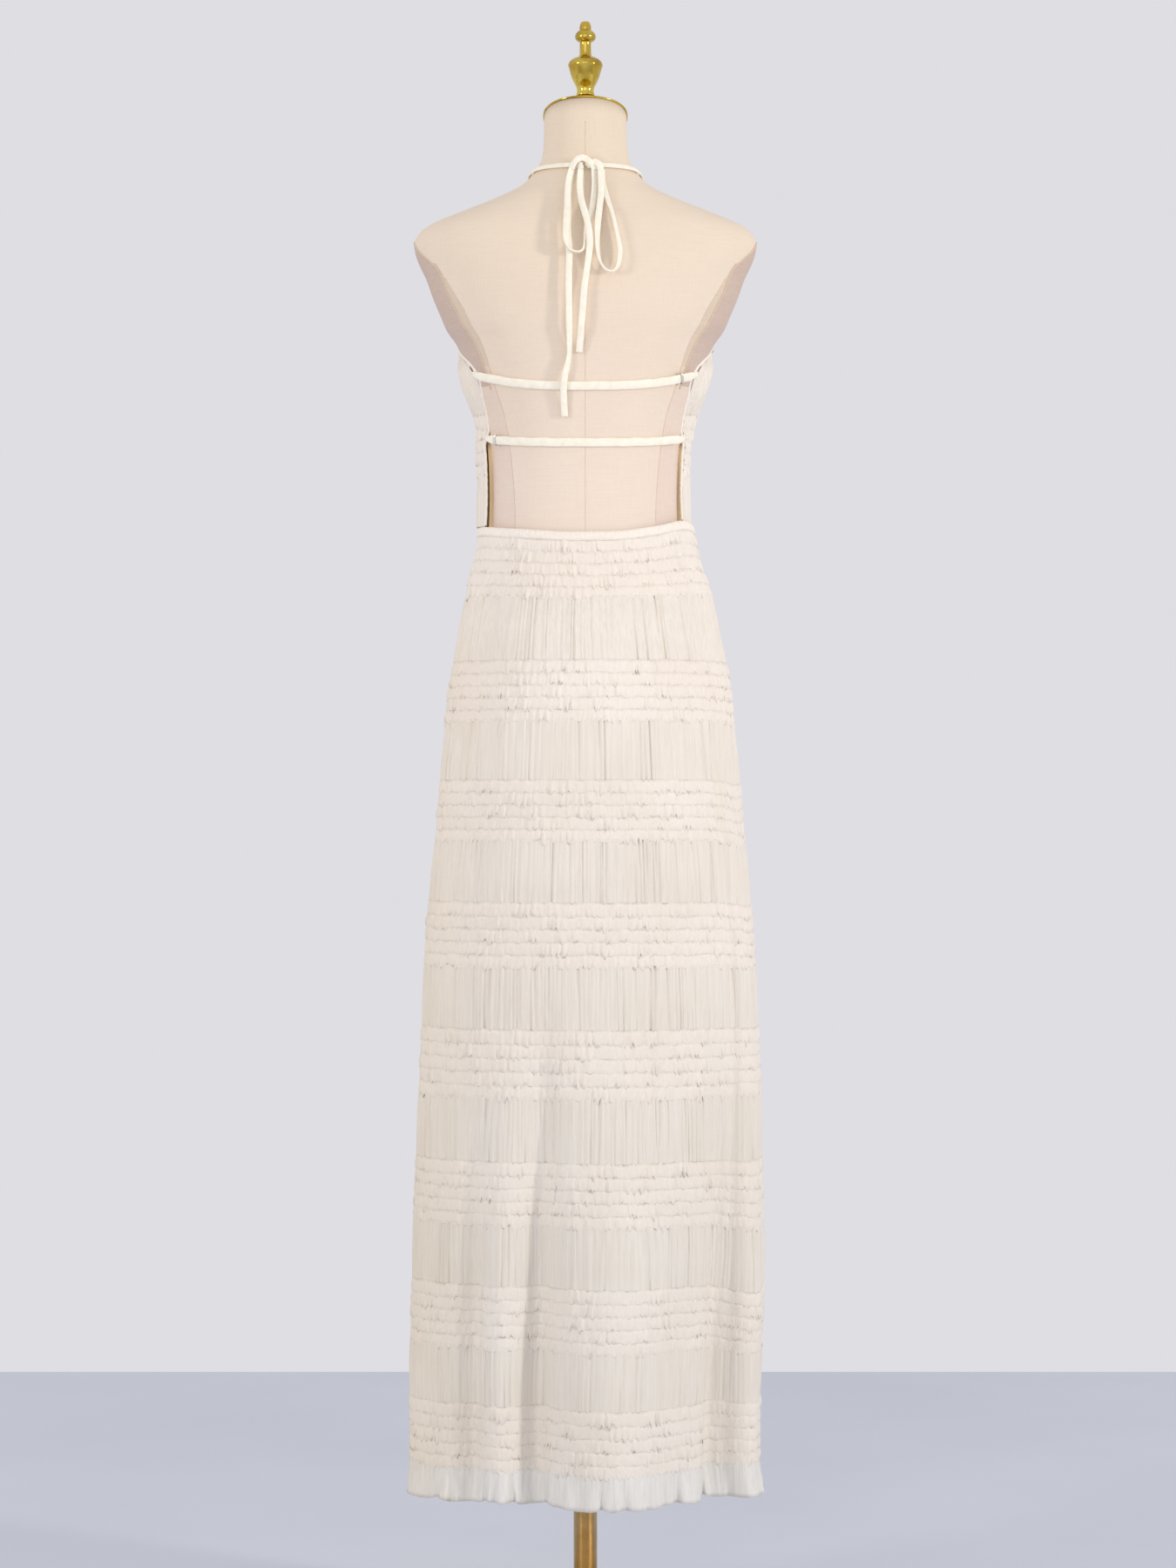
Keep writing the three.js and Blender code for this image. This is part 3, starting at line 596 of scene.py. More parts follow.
class Look:
    """One material under construction: its nodes are added from the coordinates outward."""

    def __init__(self, name):
        self.material = bpy.data.materials.new(name)
        self.material.use_nodes = True
        self.tree = self.material.node_tree
        self.shader = self.tree.nodes["Principled BSDF"]
        self.place = self.node("TexCoord", {}).outputs["Object"]
        self.bump = None

    def link(self, source, target):
        self.tree.links.new(source, target)

    def node(self, kind, inputs, **settings):
        """A new node. Each of its inputs is given a value or what another node puts out."""
        node = self.tree.nodes.new("ShaderNode" + kind)
        for name, value in settings.items():
            setattr(node, name, value)
        for name, value in inputs.items():
            if isinstance(value, bpy.types.NodeSocket):
                self.link(value, node.inputs[name])
            else:
                node.inputs[name].default_value = value
        return node

    def set(self, **values):
        for name, value in values.items():
            self.shader.inputs[name.replace("_", " ")].default_value = value

    def noise(self, scale, stretch=(1, 1, 1), detail=3.0, roughness=0.55):
        mapping = self.node("Mapping", {"Vector": self.place, "Scale": [scale * s for s in stretch]})
        inputs = {"Scale": 1, "Detail": detail, "Roughness": roughness}
        inputs["Vector"] = mapping.outputs["Vector"]
        return self.node("TexNoise", inputs).outputs["Fac"]

    def axis(self, name):
        """The place along one axis in metres."""
        return self.node("SeparateXYZ", {"Vector": self.place}).outputs[name]

    def math(self, operation, *sources):
        return self.node("Math", dict(enumerate(sources)), operation=operation).outputs["Value"]

    def share(self, source, start, end, low=0.0, high=1.0):
        """A source's value carried from start and end to low and high."""
        inputs = {"From Min": start, "From Max": end, "To Min": low, "To Max": high}
        return self.node("MapRange", {"Value": source, **inputs}).outputs["Result"]

    def threads(self, spacing, axis):
        """Even lines across one axis, as from threads that far apart in metres."""
        inputs = {"Scale": TURN / (20 * spacing), "Distortion": 0.6, "Detail": 1}
        inputs["Vector"] = self.place
        return self.node("TexWave", inputs, wave_type="BANDS", bands_direction=axis).outputs["Fac"]

    def mix(self, factor, first, second, blend="MIX"):
        inputs = {0: factor, 6: first, 7: second}
        return self.node("Mix", inputs, data_type="RGBA", blend_type=blend).outputs[2]

    def ramp(self, source, low, high, start=0.35, end=0.65):
        """The two colours by a source's value, the first below start and the second above end."""
        return self.mix(self.share(source, start, end), low, high)

    def tinted(self, tone, *tints):
        for tint in tints:
            tone = self.mix(1.0, tone, tint, "MULTIPLY")
        return tone

    def colour(self, source):
        self.link(source, self.shader.inputs["Base Color"])

    def rough(self, source, low, high):
        self.link(self.share(source, 0, 1, low, high), self.shader.inputs["Roughness"])

    def relief(self, source, height, strength=1.0):
        """Bump of the given height in metres over what the material already has."""
        inputs = {"Height": source, "Strength": strength, "Distance": height}
        if self.bump is not None:
            inputs["Normal"] = self.bump
        self.bump = self.node("Bump", inputs).outputs["Normal"]
        self.link(self.bump, self.shader.inputs["Normal"])


def chiffon(name, light, shade, streak, streak_height, alpha=1.0):
    """Crinkled chiffon: fine gathers as streaks down the cloth, bumped and painted in light and shade,
    and its open weave.
    """
    look = Look(name)
    look.set(Roughness=0.82, Sheen_Weight=0.18, Sheen_Roughness=0.45, Specular_IOR_Level=0.18)
    look.set(Subsurface_Weight=0.06, Subsurface_Scale=0.004, Alpha=alpha)
    look.set(Subsurface_Radius=(1.0, 0.86, 0.74))
    lines = look.noise(420, streak, detail=4, roughness=0.6)
    cloudy = look.noise(9, detail=2)
    # Painted shade and highlight: the fine gathers' streaks made darker and lighter in colour.
    tone = look.ramp(lines, shade, light, 0.3, 0.62)
    warm = look.ramp(cloudy, (0.97, 0.955, 0.935, 1), WHITE)
    # Painted shade: the cloth darker and cooler towards the hem, and warmer on the skirt's left.
    hem = look.ramp(look.axis("Z"), CHIFFON_PAINTED_HEM_SHADE, WHITE, *PAINTED_HEM_SHADE_REACH)
    side = look.ramp(look.axis("X"), WHITE, CHIFFON_PAINTED_SIDE_SHADE, *PAINTED_SIDE_SHADE_REACH)
    look.colour(look.tinted(tone, warm, hem, side))
    look.relief(lines, streak_height)
    look.relief(look.noise(1500, (1, 1, 0.6), detail=2), 0.00012, 0.5)
    look.relief(look.threads(0.0011, "Z"), 0.00004, 0.4)
    return look.material


def satin(name, light, shade):
    """The narrow straps: a dense smooth weave with a faint cross rib."""
    look = Look(name)
    look.set(Roughness=0.5, Sheen_Weight=0.25, Sheen_Roughness=0.4, Specular_IOR_Level=0.35)
    look.set(Subsurface_Weight=0.08, Subsurface_Scale=0.003)
    look.colour(look.ramp(look.noise(130, detail=3), shade, light, 0.3, 0.6))
    look.rough(look.noise(60), 0.4, 0.6)
    look.relief(look.noise(200, (1, 1, 0.7), detail=3), 0.0002, 0.5)
    look.relief(look.threads(0.0009, "DIAGONAL"), 0.00005, 0.5)
    return look.material


def linen(name, light, shade, painted_glow=False):
    """The form's fine woven cover, with slubs in both directions. A piece with a painted glow emits
    warm light beside the waist, in place of the light that comes through the chiffon onto its far
    sides."""
    look = Look(name)
    look.set(Roughness=0.86, Sheen_Weight=0.12, Sheen_Roughness=0.5, Specular_IOR_Level=0.22)
    upright = look.noise(900, (1, 1, 0.05), detail=3)
    level = look.noise(900, (0.05, 0.05, 1), detail=3)
    cloudy = look.noise(7, detail=3)
    weave = look.mix(0.5, upright, level)
    tone = look.ramp(weave, shade, light, 0.38, 0.6)
    soft = look.ramp(cloudy, (0.985, 0.975, 0.965, 1), WHITE)
    # Yellower up the neck.
    yellower_up = look.ramp(look.axis("Z"), WHITE, LINEN_YELLOWER_UP, *NECK_REACH)
    look.colour(look.tinted(tone, soft, yellower_up))
    # Painted glow: emission on the form's side beside the waist, standing in for light.
    if painted_glow:
        look.set(Emission_Color=PAINTED_GLOW_COLOUR)
        beside = look.share(look.math("ABSOLUTE", look.axis("X")), *PAINTED_GLOW_BESIDE)
        below = look.share(look.axis("Z"), *PAINTED_GLOW_BELOW)
        look.link(look.math("MULTIPLY", beside, below), look.shader.inputs["Emission Strength"])
    look.relief(weave, 0.00006, 0.5)
    look.relief(look.threads(0.0008, "Z"), 0.00003, 0.4)
    return look.material


def polished(name, light, shade, low, high, brushed):
    """Metal with faint turning marks and a thin bloom of handling."""
    look = Look(name)
    look.set(Metallic=1.0, Specular_IOR_Level=0.6)
    marks = look.noise(220, brushed, detail=3)
    bloom = look.noise(35, detail=4)
    look.colour(look.ramp(bloom, shade, light, 0.3, 0.6))
    look.rough(look.mix(0.5, marks, bloom), low, high)
    look.relief(marks, 0.00003, 0.35)
    return look.material


# How far the cloth's streaks are stretched along each axis: the smaller, the longer.
BAND_STREAK = (1, 1, 0.35)
TIER_STREAK = (1, 1, 0.02)
FLOUNCE_STREAK = (0.6, 0.6, 0.04)
BINDING_STREAK = (0.8, 0.8, 0.5)
RUFFLED = chiffon("ruffle_chiffon", srgb(242, 233, 222), srgb(237, 227, 215), BAND_STREAK, 0.0005)
GATHERED = chiffon("gathered_chiffon", srgb(238, 230, 219), srgb(230, 221, 208), TIER_STREAK, 0.0003)
FLOUNCE_LOOK = chiffon("flounce_chiffon", srgb(248, 245, 240), srgb(239, 234, 227),
                       FLOUNCE_STREAK, 0.0004, alpha=0.82)
BINDING_LOOK = chiffon("self_binding", srgb(247, 239, 228), srgb(241, 231, 218),
                       BINDING_STREAK, 0.0005)
STRAP_LOOK = satin("strap_satin", srgb(248, 242, 226), srgb(241, 234, 215))
# The side panels, the roll below the armholes and the armhole plates are darker than the back: partly
# the panels' own tone, partly painted shade where the form turns away to the sides.
LINEN_BACK = linen("form_linen", srgb(235, 219, 203), srgb(231, 214, 197))
LINEN_SIDE = linen("form_linen_side", srgb(231, 213, 199), srgb(226, 207, 192), painted_glow=True)
LINEN_ROLL = linen("form_linen_roll", srgb(220, 203, 184), srgb(214, 196, 176))
LINEN_PLATE = linen("form_linen_plate", srgb(208, 187, 175), srgb(200, 178, 165))
SEAM_LOOK = linen("form_seam_thread", srgb(226, 204, 184), srgb(216, 193, 172))
BRASS = polished("brass", srgb(226, 198, 92), srgb(176, 144, 52), 0.08, 0.16, (0.15, 0.15, 1))
BRONZE = polished("bronze", srgb(206, 180, 134), srgb(184, 158, 110), 0.26, 0.4, (1, 1, 0.03))
RING_LOOK = polished("ring_metal", srgb(244, 240, 230), srgb(220, 214, 200), 0.18, 0.3, (1, 1, 1))


def hang_away(height):
    begins = ease((height - HANG_TOP[0]) / (HANG_TOP[1] - HANG_TOP[0]))
    ends = ease((height - HANG_BOTTOM[0]) / (HANG_BOTTOM[1] - HANG_BOTTOM[0]))
    return HANG_AWAY * begins * ends


def strand(rows, count):
    """A strand's path and its parts: a flat strap that turns about its own line."""
    across, height, off, turn = resample(rows, count).T
    path = np.stack([across, form_back(across, height) + off, height], -1)
    looks_back = np.tile([0.0, 1.0, 0.0], (count, 1))
    return path, ribbon_parts(path, looks_back, STRAP_WIDTH, STRAP_THICKNESS, np.radians(turn))


def free_strand(name, node, rows):
    """One free strand of the bow, hanging from the knot."""
    rows = np.array(rows, float)
    rows[:, 2] += hang_away(rows[:, 1])
    path, parts = strand(rows, max(30, int(length_of(rows[:, :3]) / STRAND_STEP)))
    piece = mesh_object(name, node, *parts, STRAP_LOOK, "strap_satin")


free_strand("bow_tail_long", "tie_tail_long", TAIL_LONG)
free_strand("bow_tail_short", "tie_tail_short", TAIL_SHORT)
free_strand("bow_loop_left", "tie_loop_left", LOOP_LEFT)
free_strand("bow_loop_right", "tie_loop_right", LOOP_RIGHT)

# The knot's straps, as the strands' tables: place across, height, off the form, turn.
KNOT_STRAPS = {
    "arch_left": [
        (14.8, 1601, 8.4, 30),
        (13.6, 1605.4, 8.9, 26),
        (11, 1609.6, 9.4, 20),
        (7.4, 1612.6, 9.6, 10),
        (3.6, 1613.6, 9.5, 0),
        (-0.6, 1612.4, 9, -8),
        (-4.6, 1609.4, 8, -12),
        (-8, 1605.4, 6.4, -10),
        (-10, 1601, 4.2, 0),
    ],
    "arch_right": [
        (-1.5, 1605, 3.4, 0),
        (-5.2, 1608, 5, 0),
        (-9.6, 1609.4, 7.6, 0),
        (-13.6, 1607.6, 9.4, 0),
        (-15.8, 1604.4, 9.2, 0),
        (-16.4, 1601, 8.6, 0),
    ],
    "tail_turn": [
        (5, 1601, 7, 30),
        (5.4, 1604, 6.8, 24),
        (7, 1607, 6, 16),
        (9.4, 1608.6, 5.2, 8),
        (12, 1608, 4.4, 0),
    ],
    "left_turn": [
        (14, 1601, 3.2, 0),
        (13.4, 1603.6, 3.6, 0),
        (11, 1606, 4.2, 0),
        (7, 1606.8, 4, 0),
        (3, 1606, 3.4, 0),
    ],
}


def bow_knot():
    """The flat knot at the nape: the neck straps meet under two arches of strap."""
    parts = [strand(rows, 40)[1] for rows in KNOT_STRAPS.values()]
    mesh_object("bow_knot", "tie_knot", *join_parts(parts), STRAP_LOOK, "strap_satin")


bow_knot()


def surface_path(point, angles, heights, out):
    """Points on a surface with its normals, for straps and bindings that lie on it."""
    heights = np.broadcast_to(heights, np.shape(angles)).astype(float)
    return point(angles, heights, out), normals_of(point, angles, heights, out)


# Halter straps from the front corners round the neck: height and angle.
NECK_STRAP_ROUTE = [
    (1518.2, 17.6),
    (1530, 17.4),
    (1545, 18.5),
    (1558, 21.8),
    (1570, 28.7),
    (1580, 38),
    (1590, 50.8),
    (1597, 62),
    (1602, 78),
    (1604.5, 95),
    (1606.3, 112),
    (1607, 130),
    (1607, 147),
    (1607, 177.5),
]
NECK_STRAP_LIFT = 2.8
NECK_STRAP_THICKNESS = 2.2
# It is drawn together from one width to the other between two angles.
NECK_STRAP_NARROWS = ([60, 110], [7.2, 5.4])
HANDS = {"left": 1, "right": -1}


def neck_strap(side):
    height, turn = resample(NECK_STRAP_ROUTE, 130).T
    path, normal = surface_path(form_point, HANDS[side] * np.radians(turn), height, NECK_STRAP_LIFT)
    width = np.interp(turn, *NECK_STRAP_NARROWS)
    ribbon(f"halter_strap_{side}", f"neck_strap_{side}", path, normal, width,
           NECK_STRAP_THICKNESS, STRAP_LOOK, "strap_satin")


# Straps across the back: height at the centre, half the angle they span, width, and rise.
BACK_STRAPS = {
    "upper": (1364.5, 63.3, 9.6, 17),
    "lower": (1305, 67.3, 9.4, 8),
}
BACK_STRAP_LIFT = 1.7
BACK_STRAP_LIFTED = 6.5
BACK_STRAP_THICKNESS = 2.6
BACK_STRAP_NARROWED = 0.35
BACK_STRAP_CURVE = 2.2
BACK_STRAP_POINTS = 240


def back_strap_path(row):
    height, reach, _, rise = BACK_STRAPS[row]
    share = np.linspace(-1, 1, BACK_STRAP_POINTS)
    angles = np.radians(180 + reach * share)
    heights = height + rise * np.abs(share) ** BACK_STRAP_CURVE
    lift = BACK_STRAP_LIFT + BACK_STRAP_LIFTED * ease((np.abs(share) - 0.6) / 0.4)
    return surface_path(form_point, angles, heights, lift)


def back_strap(row, rng):
    path, normal = back_strap_path(row)
    share = np.abs(np.linspace(-1, 1, BACK_STRAP_POINTS))
    wander = uneven_wave(rng, 9)(np.linspace(0, 0.98, BACK_STRAP_POINTS))
    narrowed = 1 - BACK_STRAP_NARROWED * ease((share - 0.9) / 0.08)
    width = BACK_STRAPS[row][2] * narrowed + 0.2 * wander
    path[:, 2] += 0.25 * wander
    ribbon(f"back_tie_{row}", f"back_strap_{row}", path, normal, width, BACK_STRAP_THICKNESS,
           STRAP_LOOK, "strap_satin")


# Metal rings near the strap ends: the angle and height each is nearest to.
STRAP_RINGS = {
    "upper": (234, 1379),
    "lower": (117, 1312),
}
RING_WIRE = 0.75
RING_WIRE_LONG = 1.9  # how much longer the wire is along the strap than it is thick
RING_ROOM = 1.1
RING_HALF_DEPTH = 2.0


def strap_ring(row):
    """A flattened ring of round wire that the strap passes through."""
    angle, height = STRAP_RINGS[row]
    path, normal = back_strap_path(row)
    target = form_point(np.radians(angle), height)
    i = int(np.argmin(np.abs(path[:, 0] - target[0])))
    along = unit(path[i + 1] - path[i - 1])
    across = unit(np.cross(along, normal[i]))
    face = np.cross(across, along)
    half_width = BACK_STRAPS[row][2] / 2 + RING_ROOM
    turn = np.arange(48) / 48 * TURN
    c, s = np.cos(turn), np.sin(turn)
    u = signed_power(c, 0.5) * half_width
    v = signed_power(s, 0.5) * RING_HALF_DEPTH
    line = path[i] + u[:, None] * across + v[:, None] * face
    outward = unit(np.stack([c / half_width, s / RING_HALF_DEPTH], -1))
    outward = outward[:, :1] * across + outward[:, 1:] * face
    wire = np.arange(14)[:, None, None] / 14 * TURN
    grid = (line[None] + RING_WIRE * np.cos(wire) * outward[None]
            + RING_WIRE_LONG * RING_WIRE * np.sin(wire) * along)
    mesh_object(f"tie_ring_{row}", f"strap_ring_{row}", *closed_sweep(grid, True),
                RING_LOOK, "ring_metal")


# Bindings along the bodice's free edges.
BINDING_WIDTH = 4
BINDING_THICKNESS = 2.4
BINDING_GAP = 0.1


def side_binding(side, rng):
    heights = np.linspace(BODICE_BOTTOM + 1, BODICE_TOP, 240)
    share = np.linspace(0, 0.99, len(heights))
    path, normal = surface_path(bodice_point, HANDS[side] * bodice_edge(heights), heights, 0.0)
    outward = unit(np.cross(np.gradient(path, axis=0), normal) * HANDS[side])
    pucker = uneven_wave(rng, 34)(share)[:, None]
    path = path + outward * (BINDING_GAP + BINDING_WIDTH / 2 + 0.35 * pucker)
    width = BINDING_WIDTH + 0.5 * uneven_wave(rng, 40)(share)
    ribbon(f"side_edging_{side}", f"side_binding_{side}", path, normal, width,
           BINDING_THICKNESS, BINDING_LOOK, "self_binding")


def neck_binding():
    reach = bodice_edge(BODICE_TOP)
    angles = np.linspace(-reach, reach, 60)
    path, normal = surface_path(bodice_point, angles, BODICE_TOP, 0.0)
    path[:, 2] = BODICE_TOP + BINDING_WIDTH / 2 + 1
    normal[:, 2] = 0
    ribbon("neck_edging", "neckline_binding", path, normal, BINDING_WIDTH, BINDING_THICKNESS,
           BINDING_LOOK, "self_binding")


# The torso: angles that its grid lines follow, so that seams and panels are crisp.
PRINCESS_SEAM = table("height angle", [
    (900, 141),
    (1219, 136),
    (1300, 132),
    (1322, 130.8),
    (1357, 129),
    (1399, 128),
    (1421, 127.3),
    (1443, 126.4),
    (1465, 123.5),
    (1488, 119),
    (1500, 117),
])
PLATE_EDGE = table("height angle", [
    (1365, 124.5),
    (1399, 123.5),
    (1422, 121.5),
    (1444, 120.2),
    (1467, 118),
    (1486, 117),
    (1498, 115.5),
    (1512, 108),
    (1524, 99),
    (1530, 92),
])
PLATE_CENTRE = 1447
PLATE_HALF_HEIGHT = 82
PLATE_HALF_ANGLE = 16
PLATE_LEAST_ANGLE = 2.5
PLATE_TOP = 1530
PLATE_INSET = 3
ROLL_BOTTOM = 1385
SIDES_TOP = 1500
PRINCESS_TOP = 1488
FORM_ROWS = 150
# The panels from the front round to the back, and how many columns each has.
PANELS = [("front", 14), ("front", 8), ("plate", 10), ("side", 12), ("back", 22)]


def plate_half(height):
    """Half the angle that the armhole plate spans in front at a height, small above and below it."""
    share = np.clip(1 - ((height - PLATE_CENTRE) / PLATE_HALF_HEIGHT) ** 2, 0, 1)
    return np.maximum(PLATE_HALF_ANGLE * np.sqrt(share), PLATE_LEAST_ANGLE)


def plate_edge(height):
    """The angle of the armhole plate's back edge at a height."""
    return smooth(PLATE_EDGE, "angle", np.clip(height, PLATE_CENTRE - PLATE_HALF_HEIGHT, PLATE_TOP))


def princess(height):
    return np.maximum(smooth(PRINCESS_SEAM, "angle", height), plate_edge(height) + 2)


def form_columns(height):
    """Angles of the form's grid at one height, in degrees, and the panel that each span is in."""
    half = plate_half(height)
    stops = [0, 60, 90 - half, float(plate_edge(height)), float(princess(height)), 180]
    angles, kinds = [], []
    for a, b, (panel, count) in zip(stops, stops[1:], PANELS):
        angles.extend(a + (b - a) * np.arange(count) / count)
        kinds.extend([panel] * count)
    right = [360 - a for a in reversed(angles[1:])]
    return angles + [180] + right, kinds + kinds[::-1]


def form_look(panel, height):
    """Which of the form's materials a panel has at a height."""
    if panel == "plate":
        if abs(height - PLATE_CENTRE) < PLATE_HALF_HEIGHT - PLATE_INSET:
            return LINEN_PLATE
        return LINEN_SIDE if height < PLATE_CENTRE else LINEN_BACK
    if panel == "side" and height < SIDES_TOP:
        return LINEN_ROLL if height > ROLL_BOTTOM else LINEN_SIDE
    return LINEN_BACK


def form_body():
    grid, looks = [], []
    for height in np.linspace(FORM_BOTTOM, FORM_TOP, FORM_ROWS):
        angles, panels = form_columns(height)
        grid.append(form_point(np.radians(angles), height))
        looks.append([form_look(panel, height) for panel in panels])
    grid = np.array(grid)
    grid[-1, :, 2] = FORM_TOP + grid[-1, :, 1] * NECK_SLOPE
    rows, columns = grid.shape[:2]
    top = rows * columns
    vertices = np.concatenate([grid.reshape(-1, 3), [[0, 0, FORM_BOTTOM], [0, 0, FORM_TOP]]])
    faces = [*tube_quads(rows, columns)]
    for j in range(columns):
        k = (j + 1) % columns
        faces.append((top, k, j))
        faces.append((top + 1, top - columns + j, top - columns + k))
    piece = mesh_object("form_body", "dress_form", vertices, faces, LINEN_BACK, "form_linen")
    order = [LINEN_BACK, LINEN_SIDE, LINEN_PLATE, LINEN_ROLL]
    for look in order[1:]:
        piece.data.materials.append(look)
    for polygon, look in zip(piece.data.polygons, sum(looks[:-1], [])):
        polygon.material_index = order.index(look)


def form_seams():
    """The torso's seam lines: centre back and front, princess seams and the plates' piping."""
    parts = []

    def seam(angles, heights, width, thickness, out):
        path, normal = surface_path(form_point, np.radians(angles), heights, out)
        parts.append(ribbon_parts(path, normal, width, thickness, sides=6))

    heights = np.linspace(FORM_BOTTOM + 5, FORM_TOP - 12, 160)
    for centre in (180.0, 0.0):
        seam(np.full(len(heights), centre), heights, 0.7, 0.5, -0.05)
    lower = heights[heights < PRINCESS_TOP]
    plate = np.linspace(PLATE_CENTRE - PLATE_HALF_HEIGHT, PLATE_TOP, 90)
    front = PLATE_CENTRE + PLATE_HALF_HEIGHT * np.sin(np.linspace(-1.45, 1.45, 80))
    for hand in HANDS.values():
        seam(hand * princess(lower), lower, 0.9, 0.5, 0.05)
        seam(hand * plate_edge(plate), plate, 1.9, 1.4, 0.2)
        seam(hand * (90 - plate_half(front)), front, 1.9, 1.4, 0.2)
    mesh_object("form_seam_lines", None, *join_parts(parts), SEAM_LOOK, "form_linen")


# Cloth. A layer is its outer line from the top edge down, and comes back up inside.
CLOTH = 0.5
BAND_COLUMNS = 720
TIER_COLUMNS = 1150
FLOUNCE_COLUMNS = 1300
BODICE_COLUMNS = {"band": 460, "tier": 620}
# How far a tier reaches under the band below it and behind the band above it.
TIER_UNDER = 1
TIER_BEHIND = 2.5
GATHER_SPACING = 5.2
GATHER_DEPTH = 0.95
GATHER_LEVELS = [0, 0.035, 0.26, 0.5, 0.74, 0.965, 1]
GATHER_INNER = [0, 2, 4, 6]
GATHER_GROUP = 34
FRILL_ROWS = 5
FRILL_LEVELS = table("share drop out flutter jag", [
    (0, -1.6, 0.3, 0.1, 0.3),
    (0.28, 3.0, 0.8, 0.5, 0.8),
    (0.62, 8.0, 1.05, 0.8, 1.5),
    (0.92, 12.2, 0.8, 0.85, 3.3),
    (1, 13.4, 0.25, 0.55, 3.8),
])
FRILL_CRINKLE = 0.16
FRILL_LEAST = 0.1
FRILL_UNDER = -0.2
FRILL_WAVE = 7.5
FRILL_JAG = 4.2
FRILL_LIVELY = 45
FRILL_PITCH = 13.4
FRILL_STITCH = 1.2


def cloth_layer(place, angles, heights, outs, inner_rows=None, rests_at=None):
    """A closed thin cloth from grids of heights and outs, one row for each level from the top.

    Its inner side follows the named rows, by the cloth's thickness or at the out it rests at.
    """
    rows = range(len(outs)) if inner_rows is None else inner_rows
    lines = [place(angles, height, out) for height, out in zip(heights, outs)]
    for i in reversed(rows):
        out = outs[i] - CLOTH if rests_at is None else np.full(len(angles), rests_at)
        lines.append(place(angles, heights[i], out))
    return np.stack(lines)


def bodice_place(side, height, out):
    """A point of the bodice, where side runs from -1 at one back edge to 1 at the other."""
    return bodice_point(side * bodice_edge(height), height, out)


def gathers(name, node, rng, place, angles, shares, ring, bottom, top, around):
    """A gathered tier: uneven upright folds that shift a little from the top to the bottom."""
    count = int(around / GATHER_SPACING)
    main = uneven_wave(rng, count, smallest=0.1, evenness=2.6)
    minor = uneven_wave(rng, int(count * 1.7), smallest=0.1, evenness=3)
    ends = uneven_wave(rng, int(count * 0.8), smallest=0.1, evenness=2.6)
    drift = uneven_wave(rng, 17)
    groups = uneven_wave(rng, int(around / GATHER_GROUP), smallest=0.1, evenness=2.2)
    depth_round = np.clip(0.9 + 0.8 * groups(shares), 0.2, 1.8)
    heights, outs = [], []
    for level in GATHER_LEVELS:
        shifted = shares + 0.0016 * drift(shares) * (level - 0.5)
        fold = main(shifted) + (level - 0.5) * ends(shifted)
        fold = np.where(fold < 0, -1.25 * np.abs(fold) ** 1.5, 0.6 * fold)
        fine = minor(shifted + 0.013 * level)
        belly = 0.8 * math.sin(math.pi * level) + 0.5 * (1 - level)
        heights.append(np.full(len(angles), top + (bottom - top) * level))
        outs.append(GATHER_DEPTH * depth_round * fold + 0.2 * fine + belly)
    grid = cloth_layer(place, angles, heights, outs, GATHER_INNER)
    piece = mesh_object(name, node, *closed_sweep(grid, ring), GATHERED, "gathered_chiffon")


def frill_parts(rng, place, angles, shares, ring, stitch, around, pitch):
    """One narrow ruffle, stitched at its top, with a crinkled free edge below."""
    flutter = uneven_wave(rng, int(around / FRILL_WAVE), smallest=0.25, evenness=3.2)
    second = uneven_wave(rng, int(around / (FRILL_WAVE * 0.55)), smallest=0.1, evenness=3)
    jag = uneven_wave(rng, int(around / FRILL_JAG), smallest=0.05, evenness=2)
    wander = uneven_wave(rng, 34, evenness=3)
    groups = uneven_wave(rng, int(around / FRILL_LIVELY), evenness=2)
    lively = np.clip(0.75 + 0.8 * groups(shares), 0.1, 1.7)
    scale = pitch / FRILL_PITCH
    crinkle = rng.normal(0, 1, (len(FRILL_LEVELS["share"]), len(shares)))
    heights, outs = [], []
    for level, (share, drop, out, wave, tooth) in enumerate(zip(*FRILL_LEVELS.values())):
        fold = flutter(shares + 0.0011 * share) + 0.8 * second(shares)
        heights.append(stitch - drop * scale + 1.1 * wander(shares) + tooth * jag(shares) * lively)
        high = out * (0.55 + 0.45 * lively) + wave * fold * lively
        outs.append(np.maximum(high + FRILL_CRINKLE * share * crinkle[level], FRILL_LEAST))
    grid = cloth_layer(place, angles, heights, outs, [0, len(outs) - 1], FRILL_UNDER)
    return closed_sweep(grid, ring)


def frills(name, node, rng, place, angles, shares, ring, bottom, top, around):
    """A ruffle band: its backing, and the rows of ruffle stitched to it."""
    pitch = (top - bottom) / FRILL_ROWS
    coarse = angles[::2]
    levels = [np.full(len(coarse), height) for height in np.linspace(top, bottom + 2, 7)]
    backing = cloth_layer(place, coarse, levels, np.zeros((len(levels), len(coarse))))
    parts = [closed_sweep(backing, ring)]
    for row in range(FRILL_ROWS):
        stitch = top - row * pitch - FRILL_STITCH
        parts.append(frill_parts(rng, place, angles, shares, ring, stitch, around, pitch))
    piece = mesh_object(name, node, *join_parts(parts), RUFFLED, "ruffle_chiffon")


def skirt(rng):
    for i, (top, bottom) in enumerate(SKIRT_BANDS, start=1):
        angles, shares, around = even_angles(skirt_point, (top + bottom) / 2, BAND_COLUMNS)
        frills(f"skirt_ruffles_{i}", f"skirt_band_{i}", rng, skirt_point, angles, shares, True,
               bottom, top, around)
        if i < len(SKIRT_BANDS):
            low = SKIRT_BANDS[i][0]
            angles, shares, around = even_angles(skirt_point, (low + bottom) / 2, TIER_COLUMNS)
            gathers(f"skirt_gathers_{i}", f"skirt_tier_{i}", rng, skirt_point, angles, shares, True,
                    low - TIER_UNDER, bottom + TIER_BEHIND, around)


